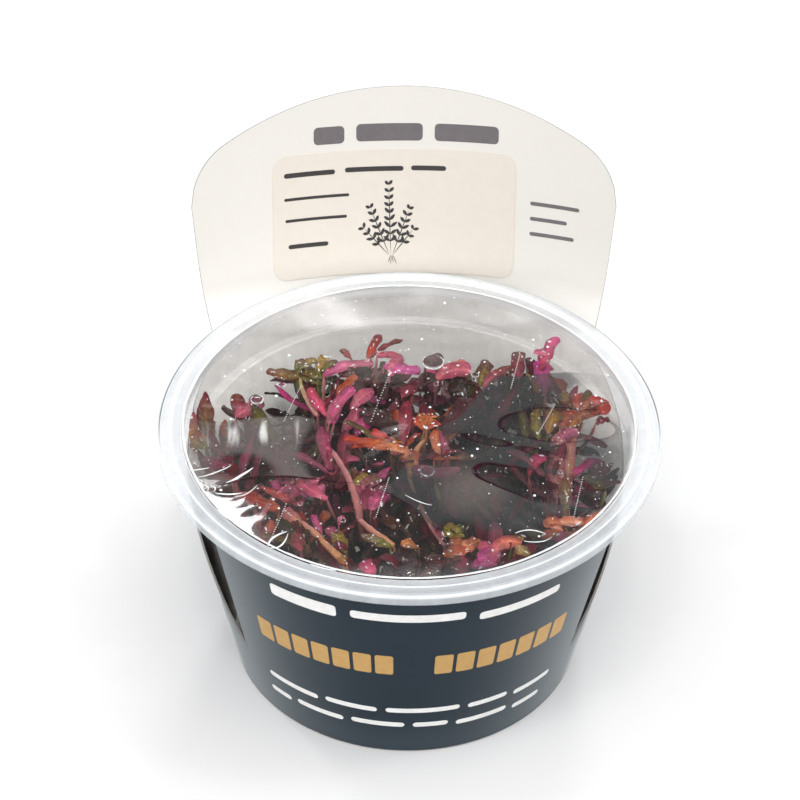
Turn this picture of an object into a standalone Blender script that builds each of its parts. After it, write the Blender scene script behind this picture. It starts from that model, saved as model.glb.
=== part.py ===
"""Rotala shoots in a sealed culture cup, held by a card sleeve with a display panel.

The origin is the centre of the cup's flat base, +Z is up and the display panel is at +Y.
Sizes below are in millimetres, and each mesh is brought to metres when it is stored.
"""
import math
import random

import bpy
from mathutils import Vector
from mathutils.bvhtree import BVHTree

MM = 0.001

# Cup: radii at the base, below the ledge, at the film seat and at the rim
CUP_HEIGHT = 56.5
RIM_RADIUS = 50.0
SEAT_INNER_RADIUS = 44.9
LEDGE_RADIUS = 42.6
LEDGE_HEIGHT = 47.8
FLOOR_RADIUS = 34.2
WALL = 0.8
NECK_STEP = 1.5
NECK_WALL = 0.7
SKIRT = 2.2
BEAD_RADIUS = 47.6
BEAD_HEIGHT = 0.45
SEAT_DEPTH = 0.35
CUP_SEGMENTS = 40

# Lid film
FILM_RADIUS = 46.8
FILM_THICKNESS = 0.15
CLEARANCE = 0.3

# Gel on the floor of the cup
GEL_BOTTOM = 1.6
GEL_TOP = 7.6
GEL_RADIUS = 33.5
GEL_FLARE = 0.9
GEL_SEGMENTS = 24

# Card sleeve: a cone round the cup, slit on both sides up from SLIT_HEIGHT
CARD = 0.45
SLEEVE_RADIUS = 36.3
SLEEVE_SLOPE = 0.2
SLEEVE_BOTTOM = 0.4
SLIT_HEIGHT = 15.3
SLIT_ANGLE = math.radians(55.5)
FRONT_TOP = 52.6
FRONT_COLUMNS = 14
BACK_COLUMNS = 24

# Display panel: leans back, and opens from the cone to a wide, slightly curved sheet
LEAN_SLOPE = 0.1154
OPEN_START = 20.0
OPEN_HEIGHT = 66.0
DISPLAY_RADIUS = 120.0
WAIST_HEIGHT = 45.0
WAIST_HALF_WIDTH = 42.75
SLIT_FALL_POWER = 1.25
SHOULDER_HALF_WIDTH = 45.6
ARCH_RISE = 39.25
ARCH_RADIUS = 83.5
CORNER_RADIUS = 13.5
PANEL_LEVELS = (15.3, 18.0, 21.5, 26.0, 31.5, 37.0, 41.5, 45.0, 49.0, 54.0, 59.0, 64.0)
ARCH_ROWS = 3

# Label on the display panel
LABEL_HALF_WIDTH = 25.8
LABEL_CENTRE = -2.05
LABEL_BOTTOM = 55.0
LABEL_TOP = 81.1
LABEL_CORNER = 3.0
LABEL_THICKNESS = 0.12
LABEL_COLUMNS = 12
LABEL_ROWS = 4

# Shoots
SEED = 41
STEM_BASE_RADIUS = 0.95
STEM_TOP_RADIUS = 0.6
NODE_LENGTH = 1.3
NODE_DROPS = (0.9, 5.6, 11.2, 17.6)
NODE_START_RISE = (38.0, 30.0, 24.0, 20.0)
NODE_TIP_RISE = (58.0, 44.0, 32.0, 24.0)
LEAF_LENGTH = 12.0
LEAF_WIDTH = 3.5
LEAF_THICKNESS = 0.45
BUD_LENGTH = 1.6
PLANT_CEILING = 55.3
BASE_PULL = 0.76
SHORTEST_STEP = 1.2
SHARPEST_BEND = 0.55
LEAF_TRIES = ((0, 0, 1.0), (16, 8, 0.95), (-16, 8, 0.95), (30, -10, 0.85), (-30, -10, 0.85),
              (10, 22, 0.75), (-10, -20, 0.7), (0, 14, 0.55))

# Each shoot: x and y of its top, the height of its top, the turn of its first leaf pair in
# degrees, the leaf length as a share of the usual one, and its colour
SHOOTS = (
    (28.6, 27.0, 47.5, 25, 0.95, "pink"), (32.5, 12.0, 49.0, 60, 0.95, "orange"),
    (22.0, 27.5, 46.0, 80, 0.80, "brown"), (14.5, 25.0, 46.0, 95, 0.80, "olive"),
    (5.5, 27.5, 45.0, 5, 0.95, "pink"), (-9.0, 28.0, 45.5, 12, 1.00, "pink"),
    (-5.0, 35.0, 41.5, 50, 0.80, "brown"), (-21.0, 30.0, 44.5, 170, 1.00, "olive"),
    (-33.0, 15.5, 44.0, 60, 0.70, "dark"), (-37.6, 5.5, 43.5, 75, 0.90, "orange"),
    (-35.5, -6.0, 48.0, 40, 0.95, "crimson"), (4.0, 6.5, 49.8, 35, 0.75, "orange"),
    (-1.5, -2.5, 50.8, 172, 1.25, "orange"), (7.5, -9.5, 50.3, 10, 0.90, "pink"),
    (-15.5, -8.5, 51.0, 85, 1.10, "pink"), (-23.5, -14.0, 49.8, 20, 0.95, "crimson"),
    (-8.0, -17.0, 50.2, 130, 0.90, "crimson"), (-20.5, -27.5, 49.5, 120, 1.05, "orange"),
    (6.5, -29.5, 50.4, 60, 0.85, "olive"), (15.5, -33.5, 50.2, 20, 0.95, "pink"),
    (29.5, -24.5, 49.8, 12, 0.95, "orange"), (28.5, -9.0, 48.5, 80, 1.15, "pink"),
    (36.5, -9.5, 46.5, 100, 0.80, "dark"), (-12.0, -36.5, 49.0, 25, 0.95, "crimson"),
    (-30.0, -22.5, 48.0, 75, 0.95, "crimson"), (-1.0, -24.0, 49.0, 155, 0.90, "brown"),
    (18.0, -19.5, 48.0, 50, 0.90, "dark"), (-7.0, 14.5, 47.0, 40, 1.00, "dark"),
    (-19.0, 16.5, 46.5, 110, 1.00, "pink"), (17.0, 11.0, 47.5, 140, 0.95, "dark"),
    (-25.5, 2.0, 48.5, 30, 0.95, "brown"), (18.5, -3.5, 48.0, 100, 0.95, "dark"),
    (0.0, -36.5, 49.2, 100, 0.85, "brown"), (25.0, 2.0, 48.3, 15, 0.80, "olive"),
)

# Colours as linear red, green and blue
LEAF_COLOURS = {
    "pink": (0.52, 0.09, 0.17), "crimson": (0.33, 0.025, 0.055), "orange": (0.50, 0.10, 0.025),
    "olive": (0.20, 0.12, 0.02), "brown": (0.20, 0.05, 0.025), "dark": (0.09, 0.015, 0.02),
}
CUP_COLOUR = (0.80, 0.85, 0.88)
FILM_COLOUR = (0.90, 0.92, 0.94)
GEL_COLOUR = (0.60, 0.56, 0.46)
SLATE_COLOUR = (0.032, 0.062, 0.072)
CREAM_COLOUR = (0.88, 0.83, 0.76)
LABEL_COLOUR = (0.86, 0.79, 0.71)


def clear_scene():
    for old in list(bpy.data.objects):
        bpy.data.objects.remove(old, do_unlink=True)


def material(name, colour, roughness, alpha=1.0):
    made = bpy.data.materials.new(name)
    made.use_nodes = True
    shader = made.node_tree.nodes["Principled BSDF"]
    shader.inputs["Base Color"].default_value = (*colour, 1.0)
    shader.inputs["Roughness"].default_value = roughness
    shader.inputs["Metallic"].default_value = 0.0
    shader.inputs["Alpha"].default_value = alpha
    made.diffuse_color = (*colour, alpha)
    return made


def store(name, points, faces, *materials, smooth_angle=None):
    """Make an object from points in millimetres and faces wound outwards."""
    mesh = bpy.data.meshes.new(name)
    mesh.from_pydata([Vector(point) * MM for point in points], [], faces)
    for each in materials:
        mesh.materials.append(each)
    if smooth_angle is not None:
        mesh.shade_smooth()
        mesh.set_sharp_from_angle(angle=math.radians(smooth_angle))
    made = bpy.data.objects.new(name, mesh)
    bpy.context.scene.collection.objects.link(made)
    return made


def revolve(profile, segments):
    """Turn a profile of (radius, height) about Z; radius 0 makes a pole. Outside runs upwards."""
    points = []
    rings = []
    for radius, height in profile:
        count = 1 if radius == 0 else segments
        rings.append(range(len(points), len(points) + count))
        for step in range(count):
            angle = 2 * math.pi * step / segments
            points.append((radius * math.cos(angle), radius * math.sin(angle), height))
    faces = []
    for lower, upper in zip(rings, rings[1:]):
        for step in range(segments):
            following = (step + 1) % segments
            corners = [lower[step % len(lower)], lower[following % len(lower)],
                       upper[following % len(upper)], upper[step % len(upper)]]
            faces.append(list(dict.fromkeys(corners)))
    return points, faces


def inner_radius(height):
    """Inside radius of the cup's wall up to the ledge, and of the ledge itself above that."""
    share = min(height / LEDGE_HEIGHT, 1.0)
    return FLOOR_RADIUS + (LEDGE_RADIUS - FLOOR_RADIUS) * share


def cup():
    top = CUP_HEIGHT
    seat = top - SEAT_DEPTH
    skirt_bottom = top - SKIRT
    outer_base = FLOOR_RADIUS + WALL
    neck = LEDGE_RADIUS + NECK_STEP
    profile = [
        (0, 0), (outer_base - 1.2, 0), (outer_base, 0.9),
        (LEDGE_RADIUS + WALL, LEDGE_HEIGHT - WALL), (neck + NECK_WALL, LEDGE_HEIGHT),
        (SEAT_INNER_RADIUS + NECK_WALL, top - 1.2), (RIM_RADIUS - 0.75, top - 1.2),
        (RIM_RADIUS - 0.7, skirt_bottom), (RIM_RADIUS, skirt_bottom), (RIM_RADIUS, top - 0.6),
        (RIM_RADIUS - 0.6, top), (BEAD_RADIUS + 0.5, top), (BEAD_RADIUS, top + BEAD_HEIGHT),
        (BEAD_RADIUS - 0.45, top), (BEAD_RADIUS - 0.5, seat), (SEAT_INNER_RADIUS + 0.2, seat),
        (SEAT_INNER_RADIUS, seat - 0.4), (neck, LEDGE_HEIGHT + 0.7),
        (LEDGE_RADIUS, LEDGE_HEIGHT), (FLOOR_RADIUS, 2.0), (FLOOR_RADIUS - 0.9, 1.2), (0, 1.2),
    ]
    points, faces = revolve(profile, CUP_SEGMENTS)
    return store("cup", points, faces, material("cup_plastic", CUP_COLOUR, 0.25, 0.35),
                 smooth_angle=35)


def lid_film():
    bottom = CUP_HEIGHT - SEAT_DEPTH + CLEARANCE
    top = bottom + FILM_THICKNESS
    profile = [(0, bottom), (FILM_RADIUS, bottom), (FILM_RADIUS, top), (0, top)]
    points, faces = revolve(profile, CUP_SEGMENTS)
    return store("lid_film", points, faces, material("film", FILM_COLOUR, 0.06, 0.2))


def nutrient_gel():
    top_radius = GEL_RADIUS + GEL_FLARE
    profile = [(0, GEL_BOTTOM), (GEL_RADIUS, GEL_BOTTOM), (top_radius, GEL_TOP), (0, GEL_TOP)]
    points, faces = revolve(profile, GEL_SEGMENTS)
    return store("nutrient_gel", points, faces, material("gel", GEL_COLOUR, 0.1, 0.6))


def sleeve_radius(height):
    return SLEEVE_RADIUS + SLEEVE_SLOPE * height


def smooth_share(value, low, high):
    """0 below low, 1 above high, with a soft start and end."""
    share = min(max((value - low) / (high - low), 0.0), 1.0)
    return share ** 3 * (share * (share * 6 - 15) + 10)


def panel_point(across, height):
    """Outer face of the back of the sleeve, at a length across from its middle line."""
    rise = max(height - SLIT_HEIGHT, 0.0)
    radius = sleeve_radius(height)
    back = radius + LEAN_SLOPE * rise
    opening = smooth_share(height, OPEN_START, OPEN_HEIGHT)
    wrapped = Vector((radius * math.sin(across / radius),
                      back - radius * (1 - math.cos(across / radius)), height))
    spread = Vector((DISPLAY_RADIUS * math.sin(across / DISPLAY_RADIUS),
                     back - DISPLAY_RADIUS * (1 - math.cos(across / DISPLAY_RADIUS)), height))
    return wrapped.lerp(spread, opening)


def lean_cosine():
    return math.cos(math.atan(SLEEVE_SLOPE + LEAN_SLOPE))


def corner_rise():
    """How far up the panel, from the rim, the centres of its round corners lie."""
    reach = ARCH_RADIUS - CORNER_RADIUS
    along = SHOULDER_HALF_WIDTH - CORNER_RADIUS
    return ARCH_RISE - ARCH_RADIUS + math.sqrt(reach ** 2 - along ** 2)


def shoulder_height():
    return CUP_HEIGHT + corner_rise() * lean_cosine()


def top_edge_height(across):
    """Height of the panel's top edge: one wide arch, with a round corner on both sides."""
    corner = SHOULDER_HALF_WIDTH - CORNER_RADIUS
    touch = corner * ARCH_RADIUS / (ARCH_RADIUS - CORNER_RADIUS)
    if abs(across) < touch:
        rise = ARCH_RISE - ARCH_RADIUS + math.sqrt(ARCH_RADIUS ** 2 - across ** 2)
    else:
        past = abs(across) - corner
        rise = corner_rise() + math.sqrt(max(CORNER_RADIUS ** 2 - past ** 2, 0.0))
    return CUP_HEIGHT + rise * lean_cosine()


def half_width(height):
    """Half of the back panel's width, measured along the card."""
    tip = sleeve_radius(SLIT_HEIGHT) * (math.pi - SLIT_ANGLE)
    if height <= SLIT_HEIGHT:
        return sleeve_radius(height) * (math.pi - SLIT_ANGLE)
    if height >= WAIST_HEIGHT:
        share = (height - WAIST_HEIGHT) / (shoulder_height() - WAIST_HEIGHT)
        return WAIST_HALF_WIDTH + (SHOULDER_HALF_WIDTH - WAIST_HALF_WIDTH) * share
    share = (height - SLIT_HEIGHT) / (WAIST_HEIGHT - SLIT_HEIGHT)
    return tip - (tip - WAIST_HALF_WIDTH) * share ** SLIT_FALL_POWER


def card_sleeve():
    """The sheet's outer face as one grid, with the slits left open, then given its thickness."""
    points = []
    faces = []

    def add_row(row):
        points.extend(row)
        return range(len(points) - len(row), len(points))

    def join(lower, upper):
        for step in range(len(lower) - 1):
            faces.append((lower[step], lower[step + 1], upper[step + 1], upper[step]))

    def cone_point(angle, height):
        radius = sleeve_radius(height)
        return (radius * math.sin(angle), -radius * math.cos(angle), height)

    front_angles = [SLIT_ANGLE * (2 * step / FRONT_COLUMNS - 1) for step in range(FRONT_COLUMNS + 1)]
    front = [add_row([cone_point(angle, height) for angle in front_angles])
             for height in (SLEEVE_BOTTOM, SLIT_HEIGHT, FRONT_TOP)]
    join(front[0], front[1])
    join(front[1], front[2])

    # Columns run from the right slit round the back to the left slit, closer near the edges
    shares = []
    for step in range(BACK_COLUMNS + 1):
        even = 1 - 2 * step / BACK_COLUMNS
        shares.append(0.55 * even + 0.45 * math.sin(even * math.pi / 2))
    low_row = [panel_point(share * half_width(SLEEVE_BOTTOM), SLEEVE_BOTTOM)
               for share in shares[1:-1]]
    middle = add_row(low_row)
    rows = [[front[0][-1], *middle, front[0][0]]]
    shoulder = shoulder_height()
    for height in (*PANEL_LEVELS, shoulder):
        width = half_width(height)
        if height == SLIT_HEIGHT:
            middle = add_row([panel_point(share * width, height) for share in shares[1:-1]])
            rows.append([front[1][-1], *middle, front[1][0]])
        else:
            rows.append(add_row([panel_point(share * width, height) for share in shares]))
    for row in range(1, ARCH_ROWS + 1):
        line = []
        for share in shares[1:-1]:
            across = share * SHOULDER_HALF_WIDTH
            top = top_edge_height(across)
            line.append(panel_point(across, shoulder + (top - shoulder) * row / ARCH_ROWS))
        middle = add_row(line)
        rows.append([rows[-1][0], *middle, rows[-1][-1]])
    for lower, upper in zip(rows, rows[1:]):
        for step in range(BACK_COLUMNS):
            corners = [lower[step], lower[step + 1], upper[step + 1], upper[step]]
            faces.append(list(dict.fromkeys(corners)))

    slate = material("card_slate", SLATE_COLOUR, 0.35)
    cream = material("card_cream", CREAM_COLOUR, 0.6)
    sleeve = store("card_sleeve", points, faces, slate, cream)
    thickness = sleeve.modifiers.new("card thickness", "SOLIDIFY")
    thickness.thickness = CARD * MM
    thickness.offset = -1
    thickness.material_offset = 1
    thickness.material_offset_rim = 1
    return sleeve


def label_sticker():
    """A thin rounded rectangle that follows the display panel's front."""
    forward = (CARD + CLEARANCE) / lean_cosine() + 0.03
    straight = LABEL_HALF_WIDTH - LABEL_CORNER
    corner_steps = 3
    offsets = [LABEL_HALF_WIDTH - LABEL_CORNER * (1 - math.sin(math.pi / 2 * (1 - step / corner_steps)))
               for step in range(corner_steps)]
    inner = [straight * (1 - 2 * step / LABEL_COLUMNS) for step in range(LABEL_COLUMNS + 1)]
    columns = offsets + inner + [-offset for offset in reversed(offsets)]
    points = []
    for across in columns:
        past = max(abs(across) - straight, 0.0)
        inset = LABEL_CORNER - math.sqrt(max(LABEL_CORNER ** 2 - past ** 2, 0.0))
        low = LABEL_BOTTOM + min(inset, LABEL_CORNER * 0.96)
        high = LABEL_TOP - min(inset, LABEL_CORNER * 0.96)
        for row in range(LABEL_ROWS + 1):
            height = low + (high - low) * row / LABEL_ROWS
            spot = panel_point(LABEL_CENTRE + across, height)
            points.append(spot + Vector((0, -forward, 0)))
    faces = []
    stride = LABEL_ROWS + 1
    for column in range(len(columns) - 1):
        for row in range(LABEL_ROWS):
            corner = column * stride + row
            faces.append((corner, corner + stride, corner + stride + 1, corner + 1))
    label = store("label_sticker", points, faces, material("label_paper", LABEL_COLOUR, 0.55))
    thickness = label.modifiers.new("paper thickness", "SOLIDIFY")
    thickness.thickness = LABEL_THICKNESS * MM
    thickness.offset = -1
    return label


class Shoot:
    """One stem's path and frame, and the leaves that it may carry."""

    def __init__(self, number, entry):
        x, y, top, self.turn, self.leaf_share, self.colour = entry
        draw = random.Random(SEED + number)
        pull = BASE_PULL
        self.base = Vector((x * pull + draw.uniform(-1.2, 1.2), y * pull + draw.uniform(-1.2, 1.2),
                            GEL_TOP + CLEARANCE))
        self.tip = Vector((x, y, top))
        sway = Vector((draw.uniform(-2.0, 2.0), draw.uniform(-2.0, 2.0), 0))
        self.bend = self.base.lerp(self.tip, 0.5) + sway
        self.length = (self.tip - self.base).length
        self.draws = [[draw.uniform(-1, 1) for _ in range(6)] for _ in NODE_DROPS for _ in range(2)]

    def place(self, share):
        first = self.base.lerp(self.bend, share)
        return first.lerp(self.bend.lerp(self.tip, share), share)

    def frame(self, share):
        """Direction along the stem, and the two directions that its leaf pairs face."""
        along = (self.bend - self.base).lerp(self.tip - self.bend, share).normalized()
        turn = math.radians(self.turn)
        face = Vector((math.cos(turn), math.sin(turn), 0))
        face = (face - along * face.dot(along)).normalized()
        return along, face, along.cross(face)

    def ring(self, share):
        radius = STEM_BASE_RADIUS + (STEM_TOP_RADIUS - STEM_BASE_RADIUS) * share
        along, face, side = self.frame(share)
        spot = self.place(share)
        return [spot + (face * first + side * second) * radius
                for first, second in ((1, -1), (1, 1), (-1, 1), (-1, -1))]


def keep_inside(point, margin):
    """Move a point of a midrib in from the wall and down from the film."""
    height = min(point.z, PLANT_CEILING)
    reach = math.hypot(point.x, point.y)
    limit = inner_radius(height) - margin
    if reach > limit:
        return Vector((point.x * limit / reach, point.y * limit / reach, height))
    return Vector((point.x, point.y, height))


def leaf_sections(shoot, level, side_of_pair, change):
    """Corner points of a leaf's cross-sections, from its neck to the last before its tip."""
    turn_change, rise_change, length_change = change
    draws = shoot.draws[level * 2 + side_of_pair]
    share = 1 - NODE_DROPS[level] / shoot.length
    along, face, side = shoot.frame(share)
    out = face if level % 2 == 0 else side
    across = along.cross(out)
    if side_of_pair:
        out = -out
        across = -across
    turn = math.radians(turn_change + draws[0] * 14)
    heading = out * math.cos(turn) + across * math.sin(turn)
    length = LEAF_LENGTH * shoot.leaf_share * length_change * (1 + 0.16 * draws[1])
    width = LEAF_WIDTH * (0.6 + 0.4 * shoot.leaf_share) * (1 + 0.12 * draws[2])
    start = math.radians(NODE_START_RISE[level] + rise_change * 0.4 + 6 * draws[3])
    rise = math.radians(NODE_TIP_RISE[level] + rise_change + 14 * draws[4])
    root = shoot.place(share) + out * STEM_TOP_RADIUS
    knee = root + (heading * math.cos(start) + along * math.sin(start)) * length * 0.45
    tip = root + (heading * math.cos(rise) + along * math.sin(rise)) * length
    spots = [0.34, 0.72] if level < 2 else [0.5]
    widths = [0.84, 0.88] if level < 2 else [1.0]
    middle = []
    for spot, _ in zip(spots, widths):
        middle.append(keep_inside(root.lerp(knee, spot).lerp(knee.lerp(tip, spot), spot), width * 0.6))
    tip = keep_inside(tip, 0.9)
    neck = (root + heading * 0.3, along.cross(out) * STEM_TOP_RADIUS, along * NODE_LENGTH * 0.5)
    sections = []
    stations = [root, *middle, tip]
    twist = math.radians(16 * draws[5])
    for index, spot in enumerate(middle, start=1):
        forward = (stations[index + 1] - stations[index - 1]).normalized()
        level_side = forward.cross(along.cross(heading).cross(forward)).normalized()
        normal = forward.cross(level_side)
        wide = level_side * math.cos(twist) + normal * math.sin(twist)
        thick = forward.cross(wide)
        sections.append((spot, wide * width * 0.5 * widths[index - 1], thick * LEAF_THICKNESS * 0.5))
    return neck, sections, tip


def section_corners(section, grow=0.0):
    spot, wide, thick = section
    wide = wide * (1 + grow / wide.length)
    thick = thick * (1 + grow / thick.length)
    return [spot - wide - thick, spot + wide - thick, spot + wide + thick, spot - wide + thick]


def tube_faces(first, second):
    return [(first[step], first[(step + 1) % 4], second[(step + 1) % 4], second[step])
            for step in range(4)]


def leaf_shell(sections, tip, grow):
    """A leaf on its own, open at the neck, for finding out what it would touch."""
    points = []
    faces = []
    previous = None
    for section in sections:
        ring = range(len(points), len(points) + 4)
        points.extend(section_corners(section, grow))
        if previous is None:
            faces.append(tuple(reversed(ring)))
        else:
            faces.extend(tube_faces(previous, ring))
        previous = ring
    points.append(tip + (tip - sections[-1][0]).normalized() * grow)
    faces.extend((previous[step], previous[(step + 1) % 4], len(points) - 1) for step in range(4))
    return BVHTree.FromPolygons(points, faces)


def stem_shell(shoot, grow):
    points = []
    faces = []
    previous = None
    for step in range(9):
        ring = range(len(points), len(points) + 4)
        centre = shoot.place(step / 8)
        points.extend(corner + (corner - centre).normalized() * grow for corner in shoot.ring(step / 8))
        if previous is not None:
            faces.extend(tube_faces(previous, ring))
        previous = ring
    return BVHTree.FromPolygons(points, faces)


def fits_in_cup(sections, tip):
    corners = [corner for section in sections for corner in section_corners(section)]
    corners.append(tip)
    return all(math.hypot(corner.x, corner.y) < inner_radius(corner.z) - 0.4
               and corner.z < CUP_HEIGHT - 0.6 for corner in corners)


def bends_softly(stations):
    """False for a leaf that the wall or the film has folded back or pushed together."""
    steps = [after - before for before, after in zip(stations, stations[1:])]
    if min(step.length for step in steps) < SHORTEST_STEP:
        return False
    return all(first.normalized().dot(second.normalized()) > SHARPEST_BEND
               for first, second in zip(steps, steps[1:]))


def choose_leaves(shoots):
    """For each shoot, the leaves that clear all stems and all leaves chosen before."""
    stems = [stem_shell(shoot, CLEARANCE) for shoot in shoots]
    taken = []
    chosen = [{} for _ in shoots]
    for level in range(len(NODE_DROPS)):
        for number, shoot in enumerate(shoots):
            others = [stem for index, stem in enumerate(stems) if index != number]
            for side_of_pair in range(2):
                for change in LEAF_TRIES:
                    neck, sections, tip = leaf_sections(shoot, level, side_of_pair, change)
                    stations = [neck[0], *(section[0] for section in sections), tip]
                    if not fits_in_cup(sections, tip) or not bends_softly(stations):
                        continue
                    grown = leaf_shell([neck, *sections], tip, CLEARANCE)
                    if any(grown.overlap(other) for other in others + taken):
                        continue
                    taken.append(leaf_shell([neck, *sections], tip, 0.0))
                    chosen[number][(level, side_of_pair)] = (sections, tip)
                    break
    return chosen


def shoot_mesh(shoot, leaves):
    """A square stem with a leaf drawn out of its side faces at each node, as one closed skin."""
    points = []
    faces = []

    def add(corners):
        points.extend(corners)
        return range(len(points) - len(corners), len(points))

    shares = [0.0]
    for drop in reversed(NODE_DROPS):
        middle = 1 - drop / shoot.length
        half = NODE_LENGTH / 2 / shoot.length
        shares += [middle - half, middle + half]
    rings = [add(shoot.ring(share)) for share in shares]
    faces.append(tuple(reversed(rings[0])))
    for index, (lower, upper) in enumerate(zip(rings, rings[1:])):
        walls = tube_faces(lower, upper)
        level = len(NODE_DROPS) - 1 - index // 2
        for wall, corners in enumerate(walls):
            key = (level, wall // 2)
            is_node = index % 2 == 1 and wall % 2 == level % 2
            if not is_node or key not in leaves:
                faces.append(corners)
                continue
            sections, tip = leaves[key]
            previous = corners
            for section in sections:
                ring = add(section_corners(section))
                faces.extend(tube_faces(previous, ring))
                previous = ring
            end = add([tip])[0]
            faces.extend((previous[step], previous[(step + 1) % 4], end) for step in range(4))
    along, _, _ = shoot.frame(1.0)
    bud = add([keep_inside(shoot.place(1.0) + along * BUD_LENGTH, 0.9)])[0]
    last = rings[-1]
    faces.extend((last[step], last[(step + 1) % 4], bud) for step in range(4))
    return points, faces


def rotala_shoots():
    shoots = [Shoot(number, entry) for number, entry in enumerate(SHOOTS, start=1)]
    chosen = choose_leaves(shoots)
    for number, (shoot, leaves) in enumerate(zip(shoots, chosen), start=1):
        points, faces = shoot_mesh(shoot, leaves)
        colour = LEAF_COLOURS[shoot.colour]
        name = f"rotala_shoot_{number:02d}"
        store(name, points, faces, material(f"leaf_{shoot.colour}_{number:02d}", colour, 0.35))


def build():
    clear_scene()
    cup()
    lid_film()
    nutrient_gel()
    card_sleeve()
    label_sticker()
    rotala_shoots()


build()
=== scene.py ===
"""Looks of young red rotala shoots in a sealed culture cup with a card sleeve.

The origin is the centre of the cup's flat base, +Z is up and the display panel is at +Y.
Sizes below are in millimetres, and each mesh is brought to metres when it is stored.
"""
import math
import random

import bpy
import numpy as np
from mathutils import Matrix, Vector, noise


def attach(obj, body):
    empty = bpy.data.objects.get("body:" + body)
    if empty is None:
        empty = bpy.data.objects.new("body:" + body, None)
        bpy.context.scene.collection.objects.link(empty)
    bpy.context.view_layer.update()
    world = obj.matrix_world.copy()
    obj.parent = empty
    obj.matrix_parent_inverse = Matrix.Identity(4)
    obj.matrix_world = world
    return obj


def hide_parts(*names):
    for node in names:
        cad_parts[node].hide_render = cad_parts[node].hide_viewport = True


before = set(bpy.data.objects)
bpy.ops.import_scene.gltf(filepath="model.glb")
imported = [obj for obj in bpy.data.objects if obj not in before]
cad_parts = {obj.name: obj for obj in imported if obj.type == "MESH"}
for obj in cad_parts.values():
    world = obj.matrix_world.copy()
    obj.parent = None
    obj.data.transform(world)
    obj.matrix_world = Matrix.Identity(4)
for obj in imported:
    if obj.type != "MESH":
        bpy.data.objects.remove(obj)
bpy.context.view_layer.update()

MM = 0.001
BODY = "root"

# Cup
CUP_HEIGHT = 56.5
RIM_RADIUS = 50.0
SEAT_INNER_RADIUS = 44.9
LEDGE_RADIUS = 42.6
LEDGE_HEIGHT = 47.8
FLOOR_RADIUS = 34.2
WALL = 0.8
NECK_STEP = 1.5
NECK_WALL = 0.7
SKIRT = 2.2
BEAD_RADIUS = 47.6
BEAD_HEIGHT = 0.45
SEAT_DEPTH = 0.35
CUP_SEGMENTS = 180

# Lid film
FILM_RADIUS = 46.8
FILM_THICKNESS = 0.12
FILM_RINGS = 90
FILM_SEGMENTS = 200
FILM_LIFT = 0.03
FILM_FREE_RADIUS = 40.0
FILM_SAG = 0.30
FILM_DROP = 0.12
FOLD_HEIGHT = 0.2
FOLD_COUNT = 46
RIPPLE_HEIGHT = 0.035
RIPPLE_COUNT = 61
PULL_DEPTH = 1.05
PULL_TURN = -143.0
PULL_SPREAD = 17.0

# Gel
GEL_BOTTOM = 1.6
GEL_TOP = 7.6
GEL_RADIUS = 33.5
GEL_FLARE = 0.9

# Card sleeve and display panel
CARD = 0.45
SLEEVE_RADIUS = 36.3
SLEEVE_SLOPE = 0.2
SLEEVE_BOTTOM = 0.4
SLIT_HEIGHT = 15.3
SLIT_ANGLE = math.radians(55.5)
FRONT_TOP = 52.6
FRONT_COLUMNS = 56
FRONT_ROWS = 12
BACK_COLUMNS = 96
LEAN_SLOPE = 0.1154
OPEN_START = 20.0
OPEN_HEIGHT = 66.0
DISPLAY_RADIUS = 120.0
WAIST_HEIGHT = 45.0
WAIST_HALF_WIDTH = 42.75
SLIT_FALL_POWER = 1.25
SHOULDER_HALF_WIDTH = 45.6
ARCH_RISE = 39.25
ARCH_RADIUS = 83.5
CORNER_RADIUS = 13.5
PANEL_STEP = 1.6
ARCH_ROWS = 10

# Label on the display panel
LABEL_HALF_WIDTH = 25.8
LABEL_CENTRE = -2.05
LABEL_BOTTOM = 55.0
LABEL_TOP = 81.1
LABEL_CORNER = 3.0
LABEL_THICKNESS = 0.14
LABEL_GAP = 0.02

# Thickness of the printed bars and blocks
INK = 0.03

# Shoots
SEED = 41
STEM_BASE_RADIUS = 0.95
STEM_TOP_RADIUS = 0.6
LEAF_LENGTH = 12.0
LEAF_WIDTH = 3.5
LEAF_THICKNESS = 0.3
LEAF_MARGIN = (0.32, 0.55, 0.38)
# How leaves and stems darken down the cup: darkest height, brightest height, power, darkest share
LEAF_DEPTH = (26.0, 50.0, 1.6, 0.05)
STEM_DEPTH = (24.0, 50.0, 1.3, 0.08)
NODE_SPACING = 5.6
BEAD_LOWEST = 44.0
SEEN_ROWS = 19
SEEN_SIDES = 8
PLANT_CEILING = 55.1
BASE_PULL = 0.76
CLEARANCE = 0.3

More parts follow.
